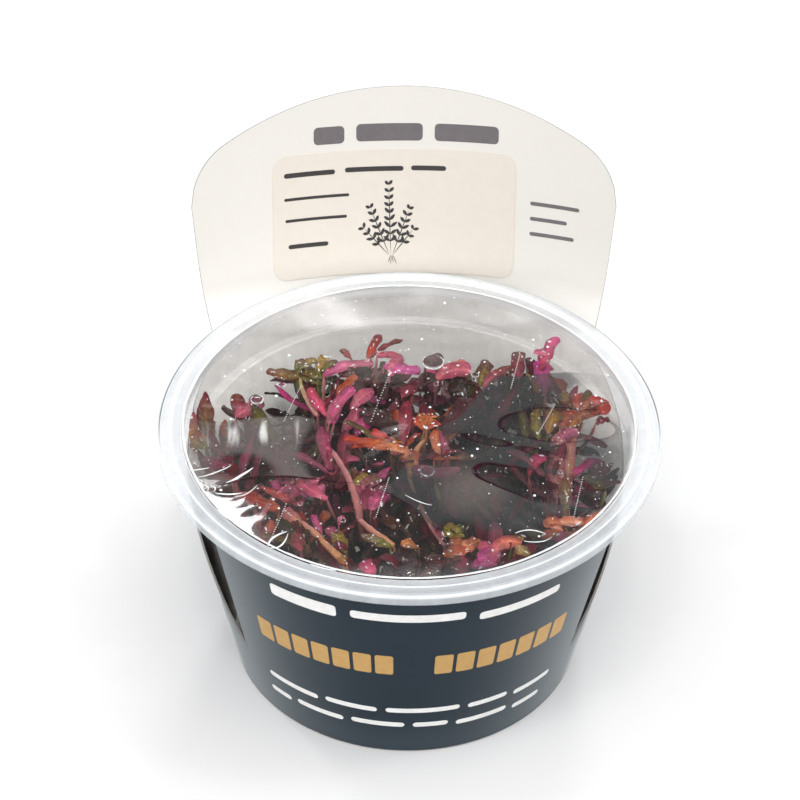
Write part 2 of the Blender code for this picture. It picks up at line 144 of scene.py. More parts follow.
# Each shoot: x and y of its top, the height of its top, the turn of its first leaf pair in
# degrees, the leaf length as a share of the usual one, and its colour
SHOOTS = (
    (28.6, 27.0, 47.5, 25, 0.95, "pink"), (32.5, 12.0, 49.0, 60, 0.95, "orange"),
    (22.0, 27.5, 46.0, 80, 0.80, "brown"), (14.5, 25.0, 46.0, 95, 0.80, "olive"),
    (5.5, 27.5, 45.0, 5, 0.95, "pink"), (-9.0, 28.0, 45.5, 12, 1.00, "pink"),
    (-5.0, 35.0, 41.5, 50, 0.80, "brown"), (-21.0, 30.0, 44.5, 170, 1.00, "olive"),
    (-33.0, 15.5, 44.0, 60, 0.70, "dark"), (-37.6, 5.5, 43.5, 75, 0.90, "orange"),
    (-35.5, -6.0, 48.0, 40, 0.95, "crimson"), (4.0, 6.5, 49.8, 35, 0.75, "orange"),
    (-1.5, -2.5, 50.8, 172, 1.25, "orange"), (7.5, -9.5, 50.3, 10, 0.90, "pink"),
    (-15.5, -8.5, 51.0, 85, 1.10, "pink"), (-23.5, -14.0, 49.8, 20, 0.95, "crimson"),
    (-8.0, -17.0, 50.2, 130, 0.90, "crimson"), (-20.5, -27.5, 49.5, 120, 1.05, "orange"),
    (6.5, -29.5, 50.4, 60, 0.85, "olive"), (15.5, -33.5, 50.2, 20, 0.95, "pink"),
    (29.5, -24.5, 49.8, 12, 0.95, "orange"), (28.5, -9.0, 48.5, 80, 1.15, "pink"),
    (36.5, -9.5, 46.5, 100, 0.80, "dark"), (-12.0, -36.5, 49.0, 25, 0.95, "crimson"),
    (-30.0, -22.5, 48.0, 75, 0.95, "crimson"), (-1.0, -24.0, 49.0, 155, 0.90, "brown"),
    (18.0, -19.5, 48.0, 50, 0.90, "dark"), (-7.0, 14.5, 47.0, 40, 1.00, "dark"),
    (-19.0, 16.5, 46.5, 110, 1.00, "pink"), (17.0, 11.0, 47.5, 140, 0.95, "dark"),
    (-25.5, 2.0, 48.5, 30, 0.95, "brown"), (18.5, -3.5, 48.0, 100, 0.95, "dark"),
    (0.0, -36.5, 49.2, 100, 0.85, "brown"), (25.0, 2.0, 48.3, 15, 0.80, "olive"),
)

# Leaf colours as linear red, green and blue, at the leaf's base and at its tip
LEAF_COLOURS = {
    "pink": ((0.58, 0.10, 0.17), (0.46, 0.05, 0.13)),
    "rose": ((0.72, 0.09, 0.24), (0.70, 0.05, 0.24)),
    "crimson": ((0.36, 0.03, 0.07), (0.24, 0.012, 0.035)),
    "red": ((0.62, 0.06, 0.03), (0.58, 0.035, 0.02)),
    "orange": ((0.56, 0.13, 0.03), (0.50, 0.07, 0.015)),
    "peach": ((0.85, 0.33, 0.18), (0.82, 0.22, 0.09)),
    "yellow": ((0.48, 0.33, 0.03), (0.42, 0.22, 0.015)),
    "olive": ((0.20, 0.15, 0.02), (0.13, 0.07, 0.012)),
    "brown": ((0.26, 0.08, 0.035), (0.16, 0.035, 0.018)),
    "dark": ((0.13, 0.026, 0.024), (0.085, 0.012, 0.014)),
    "deep": ((0.055, 0.018, 0.015), (0.045, 0.009, 0.010)),
    "faded": ((0.34, 0.13, 0.14), (0.50, 0.17, 0.20)),
}
# Colours that the leaves of one shoot are drawn from
LEAF_RANGES = {
    "pink": ("pink", "rose", "crimson", "pink", "crimson"),
    "crimson": ("crimson", "crimson", "dark", "pink", "brown"),
    "orange": ("orange", "crimson", "brown", "crimson", "olive"),
    "olive": ("olive", "brown", "olive", "dark", "crimson"),
    "brown": ("brown", "crimson", "dark", "olive", "brown"),
    "dark": ("dark", "crimson", "deep", "dark", "brown"),
}
STEM_COLOURS = {
    "pink": (0.62, 0.185, 0.215), "crimson": (0.42, 0.10, 0.12), "orange": (0.58, 0.20, 0.10),
    "olive": (0.26, 0.20, 0.06), "brown": (0.34, 0.15, 0.09), "dark": (0.16, 0.05, 0.05),
}
# Stem colour under a seen leaf whose own colour has none
STEM_OF_LEAF = {
    "rose": "pink", "red": "orange", "peach": "orange", "yellow": "olive", "deep": "dark", "faded": "pink",
}

# Other colours as linear red, green and blue
PLASTIC_WALL = (0.95, 0.94, 0.92)
PLASTIC_RIM = (0.80, 0.835, 0.865)
PLASTIC_CLOUD = (0.78, 0.82, 0.85)
PLASTIC_DIP = (0.72, 0.78, 0.83)
PLASTIC_MILKY_PAINTED_LIGHT = (0.86, 0.88, 0.885)
PLASTIC_SKIRT_PAINTED_SHADE = (0.66, 0.71, 0.735)
PLASTIC_PAINTED_HIGHLIGHT = (0.97, 0.98, 0.98)
PLASTIC_PAINTED_SHEEN = (0.25, 0.27, 0.29)
PLASTIC_GROOVE = (0.50, 0.54, 0.57)
PLASTIC_BORDER = (0.10, 0.105, 0.115)
MIST_RIGHT = (0.068, 0.073, 0.074)
MIST_LEFT = (0.185, 0.165, 0.160)
MIST_WARM = (0.60, 0.48, 0.42)
SMEAR_AND_LIGHT_WHITE = (0.95, 0.94, 0.92)
LENS_OUTLINE = (0.025, 0.0, 0.012)
SEAL_PALE = (0.93, 0.95, 0.96)
CREASE_PAINTED_HIGHLIGHT = (0.96, 0.97, 0.98)
DROP_PAINTED_HIGHLIGHT = (0.95, 0.96, 0.97)
BEAD_PAINTED_HIGHLIGHT = (0.95, 0.95, 0.96)
HOLE_EDGE_PAINTED_HIGHLIGHT = (0.80, 0.80, 0.78)
WATER_CLEAR = (0.97, 0.98, 0.98)
GEL_AMBER = (0.62, 0.58, 0.48)
GEL_PALE = (0.70, 0.68, 0.60)
SLATE_DARK = (0.003, 0.013, 0.024)
SLATE_LIGHT = (0.004, 0.014, 0.026)
SLATE_BROAD = (0.008, 0.022, 0.036)
SLATE_FOOT = (0.045, 0.065, 0.08)
SLATE_PAINTED_SHEEN = (0.34, 0.39, 0.40)
SLATE_PAINTED_GLARE = (0.74, 0.74, 0.72)
BOARD_CREAM = (0.69, 0.668, 0.625)
BOARD_MOTTLE = (0.69, 0.663, 0.617)
BOARD_BROAD = (0.68, 0.653, 0.607)
BOARD_PAINTED_LIGHT = (0.94, 0.915, 0.875)
BOARD_PAINTED_SHADE = (0.012, 0.013, 0.016)
CUT_GREY_PAINTED_SHADE = (0.30, 0.29, 0.275)
CUT_SHADE = (0.26, 0.25, 0.24)
LABEL_PAPER = (0.68, 0.627, 0.56)
LABEL_SHADE = (0.665, 0.61, 0.54)
INK_WHITE = (0.84, 0.84, 0.82)
INK_GOLD = (0.56, 0.33, 0.10)
INK_GREY = (0.14, 0.125, 0.13)
INK_DARK = (0.035, 0.03, 0.03)
FLOOR_GREY = (0.83, 0.83, 0.83)
FLOOR_PALE = (0.855, 0.85, 0.85)

# What a leaf's own colour is multiplied by
LEAF_MOTTLE = (0.42, 0.30, 0.38)
LEAF_PATCH = (1.25, 1.7, 1.1)
LEAF_LIGHTER = (1.6, 2.4, 1.9)

# Light
ROOM_LIGHT = 0.88
DIM_LIGHT = 0.16
DIM_PLACE = (0.0, 0.743, 0.669)
DIM_INNER = math.radians(20)
DIM_OUTER = math.radians(38)
SKY_COLOUR = (0.985, 0.99, 1.0, 1.0)
LIGHT_AIM = (0.0, 0.0, 0.05)
# Area lights: name, place, width and height, power
AREA_LIGHTS = (
    ("key", (-0.70, -0.85, 0.85), (1.4, 1.4), 5.6),
    ("top", (0.15, 0.05, 1.15), (0.9, 0.6), 1.0),
    ("fill", (0.35, -0.45, 1.05), (0.8, 0.8), 2.0),
    ("lamp_0", (-0.12, -0.30, 0.85), (0.07, 0.07), 0.7),
    ("lamp_1", (0.38, -0.12, 0.80), (0.07, 0.07), 0.7),
    ("lamp_2", (-0.45, 0.28, 0.75), (0.07, 0.07), 0.7),
    ("window", (0.27, 1.35, 0.80), (0.36, 0.34), 5.6),
)
# A narrow lamp that lights the far wall over the plants
BEAM_PLACE = (0.0, -0.25, 0.75)
BEAM_AIM = (-0.022, 0.048, 0.042)
BEAM_POWER = 11.0
BEAM_ANGLE = math.radians(4.4)
BEAM_SIZE = 0.03
BEAM_WIDTH = 2.0
FLOOR_HALF = 3.0

# Camera
LENS = 108.0
SENSOR = 36.0
PICTURE = 800
FOCAL_PIXELS = LENS / SENSOR * PICTURE
CAMERA_ELEVATION = math.radians(39.536)
CAMERA_ROLL = math.radians(1.0517)
CAMERA_AZIMUTH = math.radians(-2.0929)
CAMERA_TARGET = Vector((-1.975, 0.0, 61.81))
CAMERA_DISTANCE = 471.88


def camera_axes():
    """The camera's right, up and backward directions."""
    azimuth, elevation = CAMERA_AZIMUTH, CAMERA_ELEVATION
    back = Vector((math.sin(azimuth) * math.cos(elevation),
                   -math.cos(azimuth) * math.cos(elevation), math.sin(elevation)))
    level = Vector((math.cos(azimuth), math.sin(azimuth), 0.0))
    above = back.cross(level)
    right = level * math.cos(CAMERA_ROLL) + above * math.sin(CAMERA_ROLL)
    up = above * math.cos(CAMERA_ROLL) - level * math.sin(CAMERA_ROLL)
    return right, up, back


def make_camera():
    data = bpy.data.cameras.new("camera")
    data.lens = LENS
    data.sensor_width = SENSOR
    data.clip_start = 0.01
    data.clip_end = 50.0
    made = link("camera", data)
    right, up, back = camera_axes()
    placed = Matrix((right, up, back)).transposed().to_4x4()
    placed.translation = (CAMERA_TARGET + back * CAMERA_DISTANCE) * MM
    made.matrix_world = placed
    bpy.context.scene.camera = made


def picture_point(across, down, height):
    """The point at a height above the base that the photograph shows at this picture position."""
    right, up, back = camera_axes()
    eye = CAMERA_TARGET + back * CAMERA_DISTANCE
    half = PICTURE / 2
    ray = right * (across - half) / FOCAL_PIXELS + up * (half - down) / FOCAL_PIXELS - back
    return eye + ray * ((height - eye.z) / ray.z)


class Look:
    """A material, built one node at a time. A colour is a node's output or three linear values."""

    def __init__(self, name):
        self.material = bpy.data.materials.new(name)
        self.material.use_nodes = True
        self.tree = self.material.node_tree
        self.tree.nodes.clear()
        self.output = self.tree.nodes.new("ShaderNodeOutputMaterial")
        self.place = self.node("TexCoord").outputs["Object"]

    def feed(self, socket, value):
        if isinstance(value, bpy.types.NodeSocket):
            self.tree.links.new(value, socket)
        elif socket.type == "RGBA":
            socket.default_value = (*value, 1.0)
        else:
            socket.default_value = value

    def node(self, kind, inputs=None, **settings):
        made = self.tree.nodes.new("ShaderNode" + kind)
        for key, value in settings.items():
            setattr(made, key, value)
        for key, value in (inputs or {}).items():
            self.feed(made.inputs[key], value)
        return made

    def maths(self, operation, first, second=0.0, clamp=False):
        return self.node("Math", {0: first, 1: second}, operation=operation,
                         use_clamp=clamp).outputs[0]

    def chain(self, operation, values):
        whole = values[0]
        for value in values[1:]:
            whole = self.maths(operation, whole, value)
        return whole

    def plus(self, *values):
        return self.chain("ADD", values)

    def minus(self, first, second):
        return self.maths("SUBTRACT", first, second)

    def times(self, *values):
        return self.chain("MULTIPLY", values)

    def most(self, *values):
        return self.chain("MAXIMUM", values)

    def size(self, value):
        return self.maths("ABSOLUTE", value)

    def reach(self, first, second):
        """Length of the way that has these two sides."""
        return self.maths("SQRT", self.plus(self.times(first, first), self.times(second, second)))

    def vector(self, operation, first, second):
        return self.node("VectorMath", {0: first, 1: second}, operation=operation).outputs[0]

    def spread(self, value, low, high, start=0.0, end=1.0):
        """Map value from low..high to start..end, softly at both ends."""
        made = self.node("MapRange", {"Value": value, "From Min": low, "From Max": high,
                                      "To Min": start, "To Max": end},
                         interpolation_type="SMOOTHSTEP")
        return made.outputs["Result"]

    def band(self, value, middle, half, soft):
        """1 where value is within half of middle, and 0 past a soft edge."""
        return self.spread(self.size(self.minus(value, middle)), half, half + soft, 1.0, 0.0)

    def mixed(self, share, first, second, blend="MIX"):
        made = self.node("Mix", {0: share, 6: first, 7: second}, data_type="RGBA",
                         blend_type=blend)
        return made.outputs[2]

    def layered(self, colour, *layers):
        """Lay further colours over a first one, each by its share."""
        for share, over in layers:
            colour = self.mixed(share, colour, over)
        return colour

    def dyed(self, colour, dye):
        return self.mixed(1.0, colour, dye, "MULTIPLY")

    def grain(self, scale, detail=3.0, rough=0.5, vector=None):
        made = self.node("TexNoise", {"Vector": vector or self.place, "Scale": scale,
                                      "Detail": detail, "Roughness": rough})
        return made.outputs["Fac"]

    def bump(self, height, distance, strength=1.0):
        made = self.node("Bump", {"Height": height, "Distance": distance, "Strength": strength})
        return made.outputs["Normal"]

    def slant(self, **inputs):
        """0 where the face looks at the eye and 1 where it is seen edge on."""
        return self.node("LayerWeight", {"Blend": 0.5, **inputs}).outputs["Facing"]

    def apart(self, vector=None):
        return self.node("SeparateXYZ", {0: vector or self.place}).outputs[0:3]

    def shader(self, **inputs):
        return self.node("BsdfPrincipled", {key.replace("_", " "): value for key, value in inputs.items()})

    def joined(self, share, first, second):
        """One shader that turns into a second by its share."""
        return self.node("MixShader", {0: share, 1: first.outputs[0], 2: second.outputs[0]})

    def end(self, shader):
        self.tree.links.new(shader.outputs[0], self.output.inputs["Surface"])
        return self.material


def link(name, data):
    """A new object in the scene."""
    made = bpy.data.objects.new(name, data)
    bpy.context.scene.collection.objects.link(made)
    return made


def store(name, points, faces, materials, smooth_angle=40):
    """Make an object from points in millimetres and let it ride on the body."""
    mesh = bpy.data.meshes.new(name)
    mesh.from_pydata([tuple(value * MM for value in point) for point in points], [], faces)
    for each in materials:
        mesh.materials.append(each)
    if smooth_angle is not None:
        mesh.shade_smooth()
        mesh.set_sharp_from_angle(angle=math.radians(smooth_angle))
    mesh.update()
    made = link(name, mesh)
    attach(made, BODY)
    return made


def clipped(value, low, high):
    """Share of the way from low to high, never under 0 or over 1."""
    return min(max((value - low) / (high - low), 0.0), 1.0)


def ring_faces(low, high, count):
    """Faces between two closed rings of count points that start at low and high."""
    return [[low + step, low + (step + 1) % count, high + (step + 1) % count, high + step]
            for step in range(count)]


def tube_grid(rows, ring):
    """Faces of a closed tube of points."""
    faces = []
    for row in range(rows - 1):
        faces += ring_faces(row * ring, (row + 1) * ring, ring)
    faces.append(list(reversed(range(ring))))
    faces.append([(rows - 1) * ring + step for step in range(ring)])
    return faces


def tube_from(start, rows, ring):
    """Faces of a closed tube whose points begin at start and run the other way round."""
    return [[start + corner for corner in reversed(face)] for face in tube_grid(rows, ring)]


def arc(start, bend, end, share):
    """Places and unit directions along a curve from start to end that bends towards bend."""
    centre = start * (1 - share) ** 2 + bend * 2 * share * (1 - share) + end * share ** 2
    along = (bend - start) * (1 - share) + (end - bend) * share
    return centre, along / np.maximum(np.linalg.norm(along, axis=1, keepdims=True), 1e-6)


def thicken(made, thickness, back_slot=0, rim_slot=0, smooth_angle=30):
    """Give a sheet its thickness behind its outer face, with crisp edges."""
    layer = made.modifiers.new("thickness", "SOLIDIFY")
    layer.thickness = thickness * MM
    layer.offset = -1
    layer.use_even_offset = True
    layer.material_offset = back_slot
    layer.material_offset_rim = rim_slot
    bpy.context.view_layer.update()
    graph = bpy.context.evaluated_depsgraph_get()
    whole = bpy.data.meshes.new_from_object(made.evaluated_get(graph))
    thin = made.data
    made.modifiers.clear()
    made.data = whole
    bpy.data.meshes.remove(thin)
    whole.shade_smooth()
    whole.set_sharp_from_angle(angle=math.radians(smooth_angle))


def revolve(profile, segments):
    """Turn a profile of (radius, height) about Z; radius 0 makes a pole."""
    points = []
    rings = []
    for radius, height in profile:
        count = 1 if radius == 0 else segments
        rings.append(range(len(points), len(points) + count))
        for step in range(count):
            angle = 2 * math.pi * step / segments
            points.append((radius * math.cos(angle), radius * math.sin(angle), height))
    faces = []
    for lower, upper in zip(rings, rings[1:]):
        for step in range(segments):
            following = (step + 1) % segments
            corners = [lower[step % len(lower)], lower[following % len(lower)],
                       upper[following % len(upper)], upper[step % len(upper)]]
            faces.append(list(dict.fromkeys(corners)))
    return points, faces


def soften(profile):
    """Round the corners of a profile of (radius, height, corner size)."""
    made = []
    for index, (radius, height, size) in enumerate(profile):
        if size == 0 or index in (0, len(profile) - 1):
            made.append((radius, height))
            continue
        corner = Vector((radius, height))
        before = Vector(profile[index - 1][:2]) - corner
        after = Vector(profile[index + 1][:2]) - corner
        reach = min(size, before.length * 0.45, after.length * 0.45)
        first = corner + before.normalized() * reach
        last = corner + after.normalized() * reach
        for step in range(5):
            share = step / 4
            spot = first.lerp(corner, share).lerp(corner.lerp(last, share), share)
            made.append((spot.x, spot.y))
    return made


# Cup

def cup_look():
    """Nearly clear at the front of the wall, cloudier behind, and whiter at the back of the rim, partly
    cloudy plastic and partly painted light.
    """
    look = Look("clouded plastic")
    x, y, z = look.apart()
    height = look.times(z, 1000.0)
    radius = look.times(look.reach(x, y), 1000.0)
    rim = look.spread(height, CUP_HEIGHT - 3.2, CUP_HEIGHT - 1.6)
    upper = look.spread(height, CUP_HEIGHT - 0.9, CUP_HEIGHT - 0.4)
    neck = look.spread(height, LEDGE_HEIGHT - 2.0, LEDGE_HEIGHT + 0.6)
    # Bright rings along the bead, rim, seat and ledge are painted highlights.
    bead_line = look.times(upper, look.band(radius, BEAD_RADIUS - 0.25, 0.28, 0.2))
    rim_line = look.times(upper, look.band(radius, RIM_RADIUS - 0.3, 0.12, 0.2))
    seat_line = look.times(rim, look.band(radius, SEAT_INNER_RADIUS + 0.1, 0.15, 0.25))
    ledge_line = look.times(look.band(height, LEDGE_HEIGHT + 0.1, 0.05, 0.15), 0.45)
    painted_highlight_lines = look.most(bead_line, rim_line, seat_line, ledge_line)
    dip = look.times(upper, look.band(radius, BEAD_RADIUS + 0.8, 0.45, 0.3))
    cloud = look.grain(90.0, 4.0, 0.6)
    streak = look.grain(1.0, 3.0, 0.6, look.vector("MULTIPLY", look.place, (260, 260, 22)))
    behind = look.spread(y, -0.004, 0.018, 0.42, 1.0)
    # The back of the rim is painted whiter and more opaque: partly cloudy plastic, partly painted light.
    milky_painted_light = look.times(rim, look.spread(y, -0.005, 0.035))
    groove = look.times(look.band(radius, RIM_RADIUS - 1.05, 0.05, 0.14), milky_painted_light, upper)
    edge = look.times(look.band(radius, RIM_RADIUS - 0.55, 0.14, 0.08), look.spread(height, 55.4, 55.9))
    border = look.times(edge, look.spread(y, -0.015, 0.005))
    # The outer side of the rim is painted darker, as painted shade.
    skirt_painted_shade = look.times(look.spread(radius, 49.6, 49.9), look.spread(height, 56.3, 56.0))
    # Painted sheen: the wall turns greyer where it is seen at a glancing angle.
    aslant_painted_sheen = look.spread(look.slant(), 0.90, 0.985, 0.0, 0.75)
    wall = look.plus(look.times(neck, 0.05), look.spread(height, 14.0, 34.0, 0.03, 0.13))
    cover = look.plus(look.times(wall, behind), look.times(rim, 0.30), look.times(painted_highlight_lines, 0.30),
                      look.times(dip, -0.10), look.times(milky_painted_light, 0.22), look.times(border, 0.35),
                      look.spread(streak, 0.4, 0.75, 0.0, 0.08))
    cover = look.maths("ADD", cover, look.spread(cloud, 0.4, 0.8, 0.0, 0.05), clamp=True)
    colour = look.layered(
        PLASTIC_WALL, (rim, PLASTIC_RIM), (look.spread(cloud, 0.3, 0.8, 0.0, 0.3), PLASTIC_CLOUD),
        (look.times(dip, 0.5), PLASTIC_DIP), (milky_painted_light, PLASTIC_MILKY_PAINTED_LIGHT), (look.times(skirt_painted_shade, 0.8), PLASTIC_SKIRT_PAINTED_SHADE),
        (look.times(painted_highlight_lines, 0.8), PLASTIC_PAINTED_HIGHLIGHT), (aslant_painted_sheen, PLASTIC_PAINTED_SHEEN),
        (look.times(groove, 0.6), PLASTIC_GROOVE), (look.times(border, 0.95), PLASTIC_BORDER))
    relief = look.plus(look.grain(400.0, 3.0), look.times(streak, 1.5))
    return look.end(look.shader(
        Base_Color=colour, Roughness=look.spread(cloud, 0.2, 0.8, 0.12, 0.26),
        IOR=1.49, Alpha=cover, Normal=look.bump(relief, 0.00006)))


def cup_piece():
    top = CUP_HEIGHT
    seat = top - SEAT_DEPTH
    skirt_bottom = top - SKIRT
    outer_base = FLOOR_RADIUS + WALL
    neck = LEDGE_RADIUS + NECK_STEP
    profile = soften([
        (0, 0, 0), (outer_base - 1.2, 0, 0.5), (outer_base, 0.9, 0.6),
        (LEDGE_RADIUS + WALL, LEDGE_HEIGHT - WALL, 0.4), (neck + NECK_WALL, LEDGE_HEIGHT, 0.4),
        (SEAT_INNER_RADIUS + NECK_WALL, top - 1.2, 0.3), (RIM_RADIUS - 0.75, top - 1.2, 0.3),
        (RIM_RADIUS - 0.7, skirt_bottom, 0.12), (RIM_RADIUS, skirt_bottom, 0.15),
        (RIM_RADIUS, top - 0.6, 0.25), (RIM_RADIUS - 0.6, top, 0.3), (BEAD_RADIUS + 0.5, top, 0.2),
        (BEAD_RADIUS, top + BEAD_HEIGHT, 0.3), (BEAD_RADIUS - 0.45, top, 0.15),
        (BEAD_RADIUS - 0.5, seat, 0.1), (SEAT_INNER_RADIUS + 0.2, seat, 0.15),
        (SEAT_INNER_RADIUS, seat - 0.4, 0.2), (neck, LEDGE_HEIGHT + 0.7, 0.5),
        (LEDGE_RADIUS, LEDGE_HEIGHT, 0.4), (FLOOR_RADIUS, 2.0, 0.6),
        (FLOOR_RADIUS - 0.9, 1.2, 0.5), (0, 1.2, 0),
    ])
    points, faces = revolve(profile, CUP_SEGMENTS)
    made = store("culture_cup", points, faces, [cup_look()])
    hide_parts("cup")


# Lid film

def film_height(x, y):
    """Height of the film's top: sealed flat at the rim, with a slight sag and folds inside."""
    radius = math.hypot(x, y)
    angle = math.atan2(y, x)
    level = CUP_HEIGHT - SEAT_DEPTH + FILM_THICKNESS + FILM_LIFT
    free = 1 - clipped(radius, FILM_FREE_RADIUS, SEAT_INNER_RADIUS) ** 2
    sag = FILM_SAG * (1 - (radius / SEAT_INNER_RADIUS) ** 2)
    broad = noise.noise(Vector((x * 0.045, y * 0.045, 3.7))) * 0.34
    broad += noise.noise(Vector((x * 0.12, y * 0.12, 9.1))) * 0.07
    left = math.exp(-((angle - math.pi) / 0.5) ** 2) + math.exp(-((angle + math.pi) / 0.75) ** 2)
    wander = 3 * noise.noise(Vector((x * 0.1, y * 0.1, 1.0)))
    folds = FOLD_HEIGHT * left * math.sin(angle * FOLD_COUNT + wander)
    wander = 4 * noise.noise(Vector((x * 0.2, y * 0.2, 5.0)))
    folds += RIPPLE_HEIGHT * math.sin(angle * RIPPLE_COUNT + wander)
    folds *= clipped(radius, 26.0, 40.0)
    pulled = math.exp(-((math.degrees(angle) - PULL_TURN) / PULL_SPREAD) ** 2)
    inward = clipped(SEAT_INNER_RADIUS - radius, 0.0, 7.0)
    slope = PULL_DEPTH * pulled * inward * (1.0 - 0.35 * clipped(38.0 - radius, 0.0, 30.0))
    return level - sag - slope + free * (broad + folds - FILM_DROP)


# Clear lenses in the mist under the film: centre, half length, half width, turn in degrees
PUDDLES = (
    ((29.5, -1.0), 11.8, 4.9, -8.0), ((26.0, -18.7), 14.0, 3.9, -19.0), ((-24.0, -40.0), 30.0, 24.0, 0.0),
    ((15.0, -5.2), 4.6, 1.2, -20.0), ((24.5, -8.6), 3.6, 1.0, -12.0),
)
# Leaves that lie wet against the film and stay clear of mist: centre, half length, half width, turn
CONTACTS = (
    ((30.5, -11.7), 8.4, 3.2, 94.0), ((15.5, -36.0), 9.0, 4.6, 12.0), ((30.5, -28.1), 7.5, 3.4, 12.0),
    ((8.0, -32.6), 5.4, 3.4, -12.0), ((2.0, -5.1), 14.0, 3.6, -6.0), ((36.2, 6.0), 6.0, 5.2, 10.0),
    ((5.0, -11.0), 5.6, 2.2, 0.0), ((27.5, 1.2), 6.0, 4.6, 20.0), ((25.0, -10.4), 2.6, 3.8, 0.0),
    ((3.4, 2.4), 4.2, 4.4, 0.0), ((-11.0, -8.0), 10.0, 14.0, 0.0), ((-31.5, -13.5), 6.5, 3.8, -15.0),
)


def inside_oval(look, place, centre, length, width, turn):
    """Distance over an oval's edge on the film, below zero inside it."""
    turned = look.node("VectorRotate", {"Vector": place, "Center": (*centre, 0.0),
                                        "Angle": math.radians(-turn)}, rotation_type="Z_AXIS")
    across, along, _ = look.apart(turned.outputs[0])
    reach = look.reach(look.maths("DIVIDE", look.minus(across, centre[0]), length),
                       look.maths("DIVIDE", look.minus(along, centre[1]), width))
    return look.times(look.minus(reach, 1.0), width)


def mist_and_outline(look, place, x, y, radius, patchy):
    """Share of mist on the film, and the dark outlines of the clear lenses in it."""
    edge = look.plus(look.spread(x, -25.0, -2.0, 1.0, -3.2), look.spread(x, 3.0, 21.0, 0.0, 18.0))
    past = look.minus(y, edge)
    veil = look.spread(past, -0.25, 0.25, 1.0, 0.0)
    outline = look.times(look.spread(look.size(past), 0.05, 0.3, 1.0, 0.0), 0.35)
    clear = 0.0
    for oval in PUDDLES:
        away = inside_oval(look, place, *oval)
        clear = look.most(clear, look.spread(away, -0.3, 0.0, 1.0, 0.0))
        outline = look.most(outline, look.spread(look.size(away), 0.08, 0.34, 1.0, 0.0))
    broken = look.spread(look.grain(48.0, 2.0), 0.32, 0.5, 0.1, 1.0)
    outline = look.times(outline, broken, veil, look.spread(radius, 43.0, 44.4, 1.0, 0.0))
    mist = look.times(veil, look.minus(1.0, look.times(clear, 0.85)), patchy)
    for oval in CONTACTS:
        away = inside_oval(look, place, *oval)
        mist = look.times(mist, look.spread(away, -1.4, 1.2, 0.12, 1.0))
    rear = look.times(look.spread(radius, 34.0, 39.0), look.spread(y, -9.0, 3.0))
    mist = look.times(mist, look.spread(radius, 43.6, 44.6, 1.0, 0.0),
                      look.minus(1.0, look.times(rear, 0.85)))
    return mist, outline


def film_look():
    """A clear glossy film with mist, white smears that are partly painted light at the back, pale finger
    marks and a warm patch of breath on it.
    """
    look = Look("clear film")
    flat = look.vector("MULTIPLY", look.place, (1000.0, 1000.0, 1000.0))
    wander = look.node("TexNoise", {"Vector": look.place, "Scale": 55.0, "Detail": 2.0}).outputs["Color"]
    wander = look.vector("MULTIPLY", look.vector("SUBTRACT", wander, (0.5, 0.5, 0.5)), (6.0, 6.0, 6.0))
    bent = look.vector("ADD", flat, wander)
    x, y, _ = look.apart(bent)
    radius = look.reach(x, y)
    patchy = look.spread(look.grain(70.0, 4.0, 0.6), 0.25, 0.75, 0.65, 1.15)
    mist, outline = mist_and_outline(look, bent, x, y, radius, patchy)
    stripes = look.grain(1.0, 2.0, 0.5, look.vector("MULTIPLY", look.place, (330, 40, 0)))
    finger = look.times(look.spread(stripes, 0.52, 0.68), look.band(y, -3.6, 1.0, 3.6),
                        look.spread(x, -14.0, -24.0))
    # The white smears at the back of the film are partly painted light over the far wall.
    smear_and_painted_light = look.times(look.spread(look.grain(36.0, 3.0), 0.45, 0.68, 0.45, 1.0),
                       look.spread(y, 27.0, 33.0))
    aside = look.maths("DIVIDE", look.minus(x, 12.0), 9.0)
    ahead = look.maths("DIVIDE", look.plus(y, 21.0), 10.0)
    breath = look.times(look.spread(look.reach(aside, ahead), 0.4, 1.0, 1.0, 0.0), patchy)
    cover = look.plus(look.times(mist, 0.42), 0.002, look.times(finger, 0.05), look.times(smear_and_painted_light, 0.30),
                      look.times(breath, 0.07))
    cover = look.most(cover, look.times(outline, 0.30))
    veiled = look.mixed(look.spread(x, -12.0, -24.0), MIST_RIGHT, MIST_LEFT)
    haze = look.layered(veiled, (look.most(smear_and_painted_light, finger), SMEAR_AND_LIGHT_WHITE),
                        (look.times(breath, 0.17), MIST_WARM), (outline, LENS_OUTLINE))
    relief = look.bump(look.grain(160.0, 3.0), 0.00004)
    sharp, soft = (look.node("BsdfGlossy", {"Color": (1, 1, 1), "Roughness": rough, "Normal": relief})
                   for rough in (0.03, 0.17))
    see = look.node("BsdfTransparent", {"Color": (0.997, 0.997, 0.997)})
    slant = look.maths("POWER", look.slant(Normal=relief), 5.0)
    pane = look.joined(look.plus(look.times(slant, 0.95), 0.035), see, look.joined(0.45, sharp, soft))
    return look.end(look.joined(cover, pane, look.node("BsdfDiffuse", {"Color": haze})))


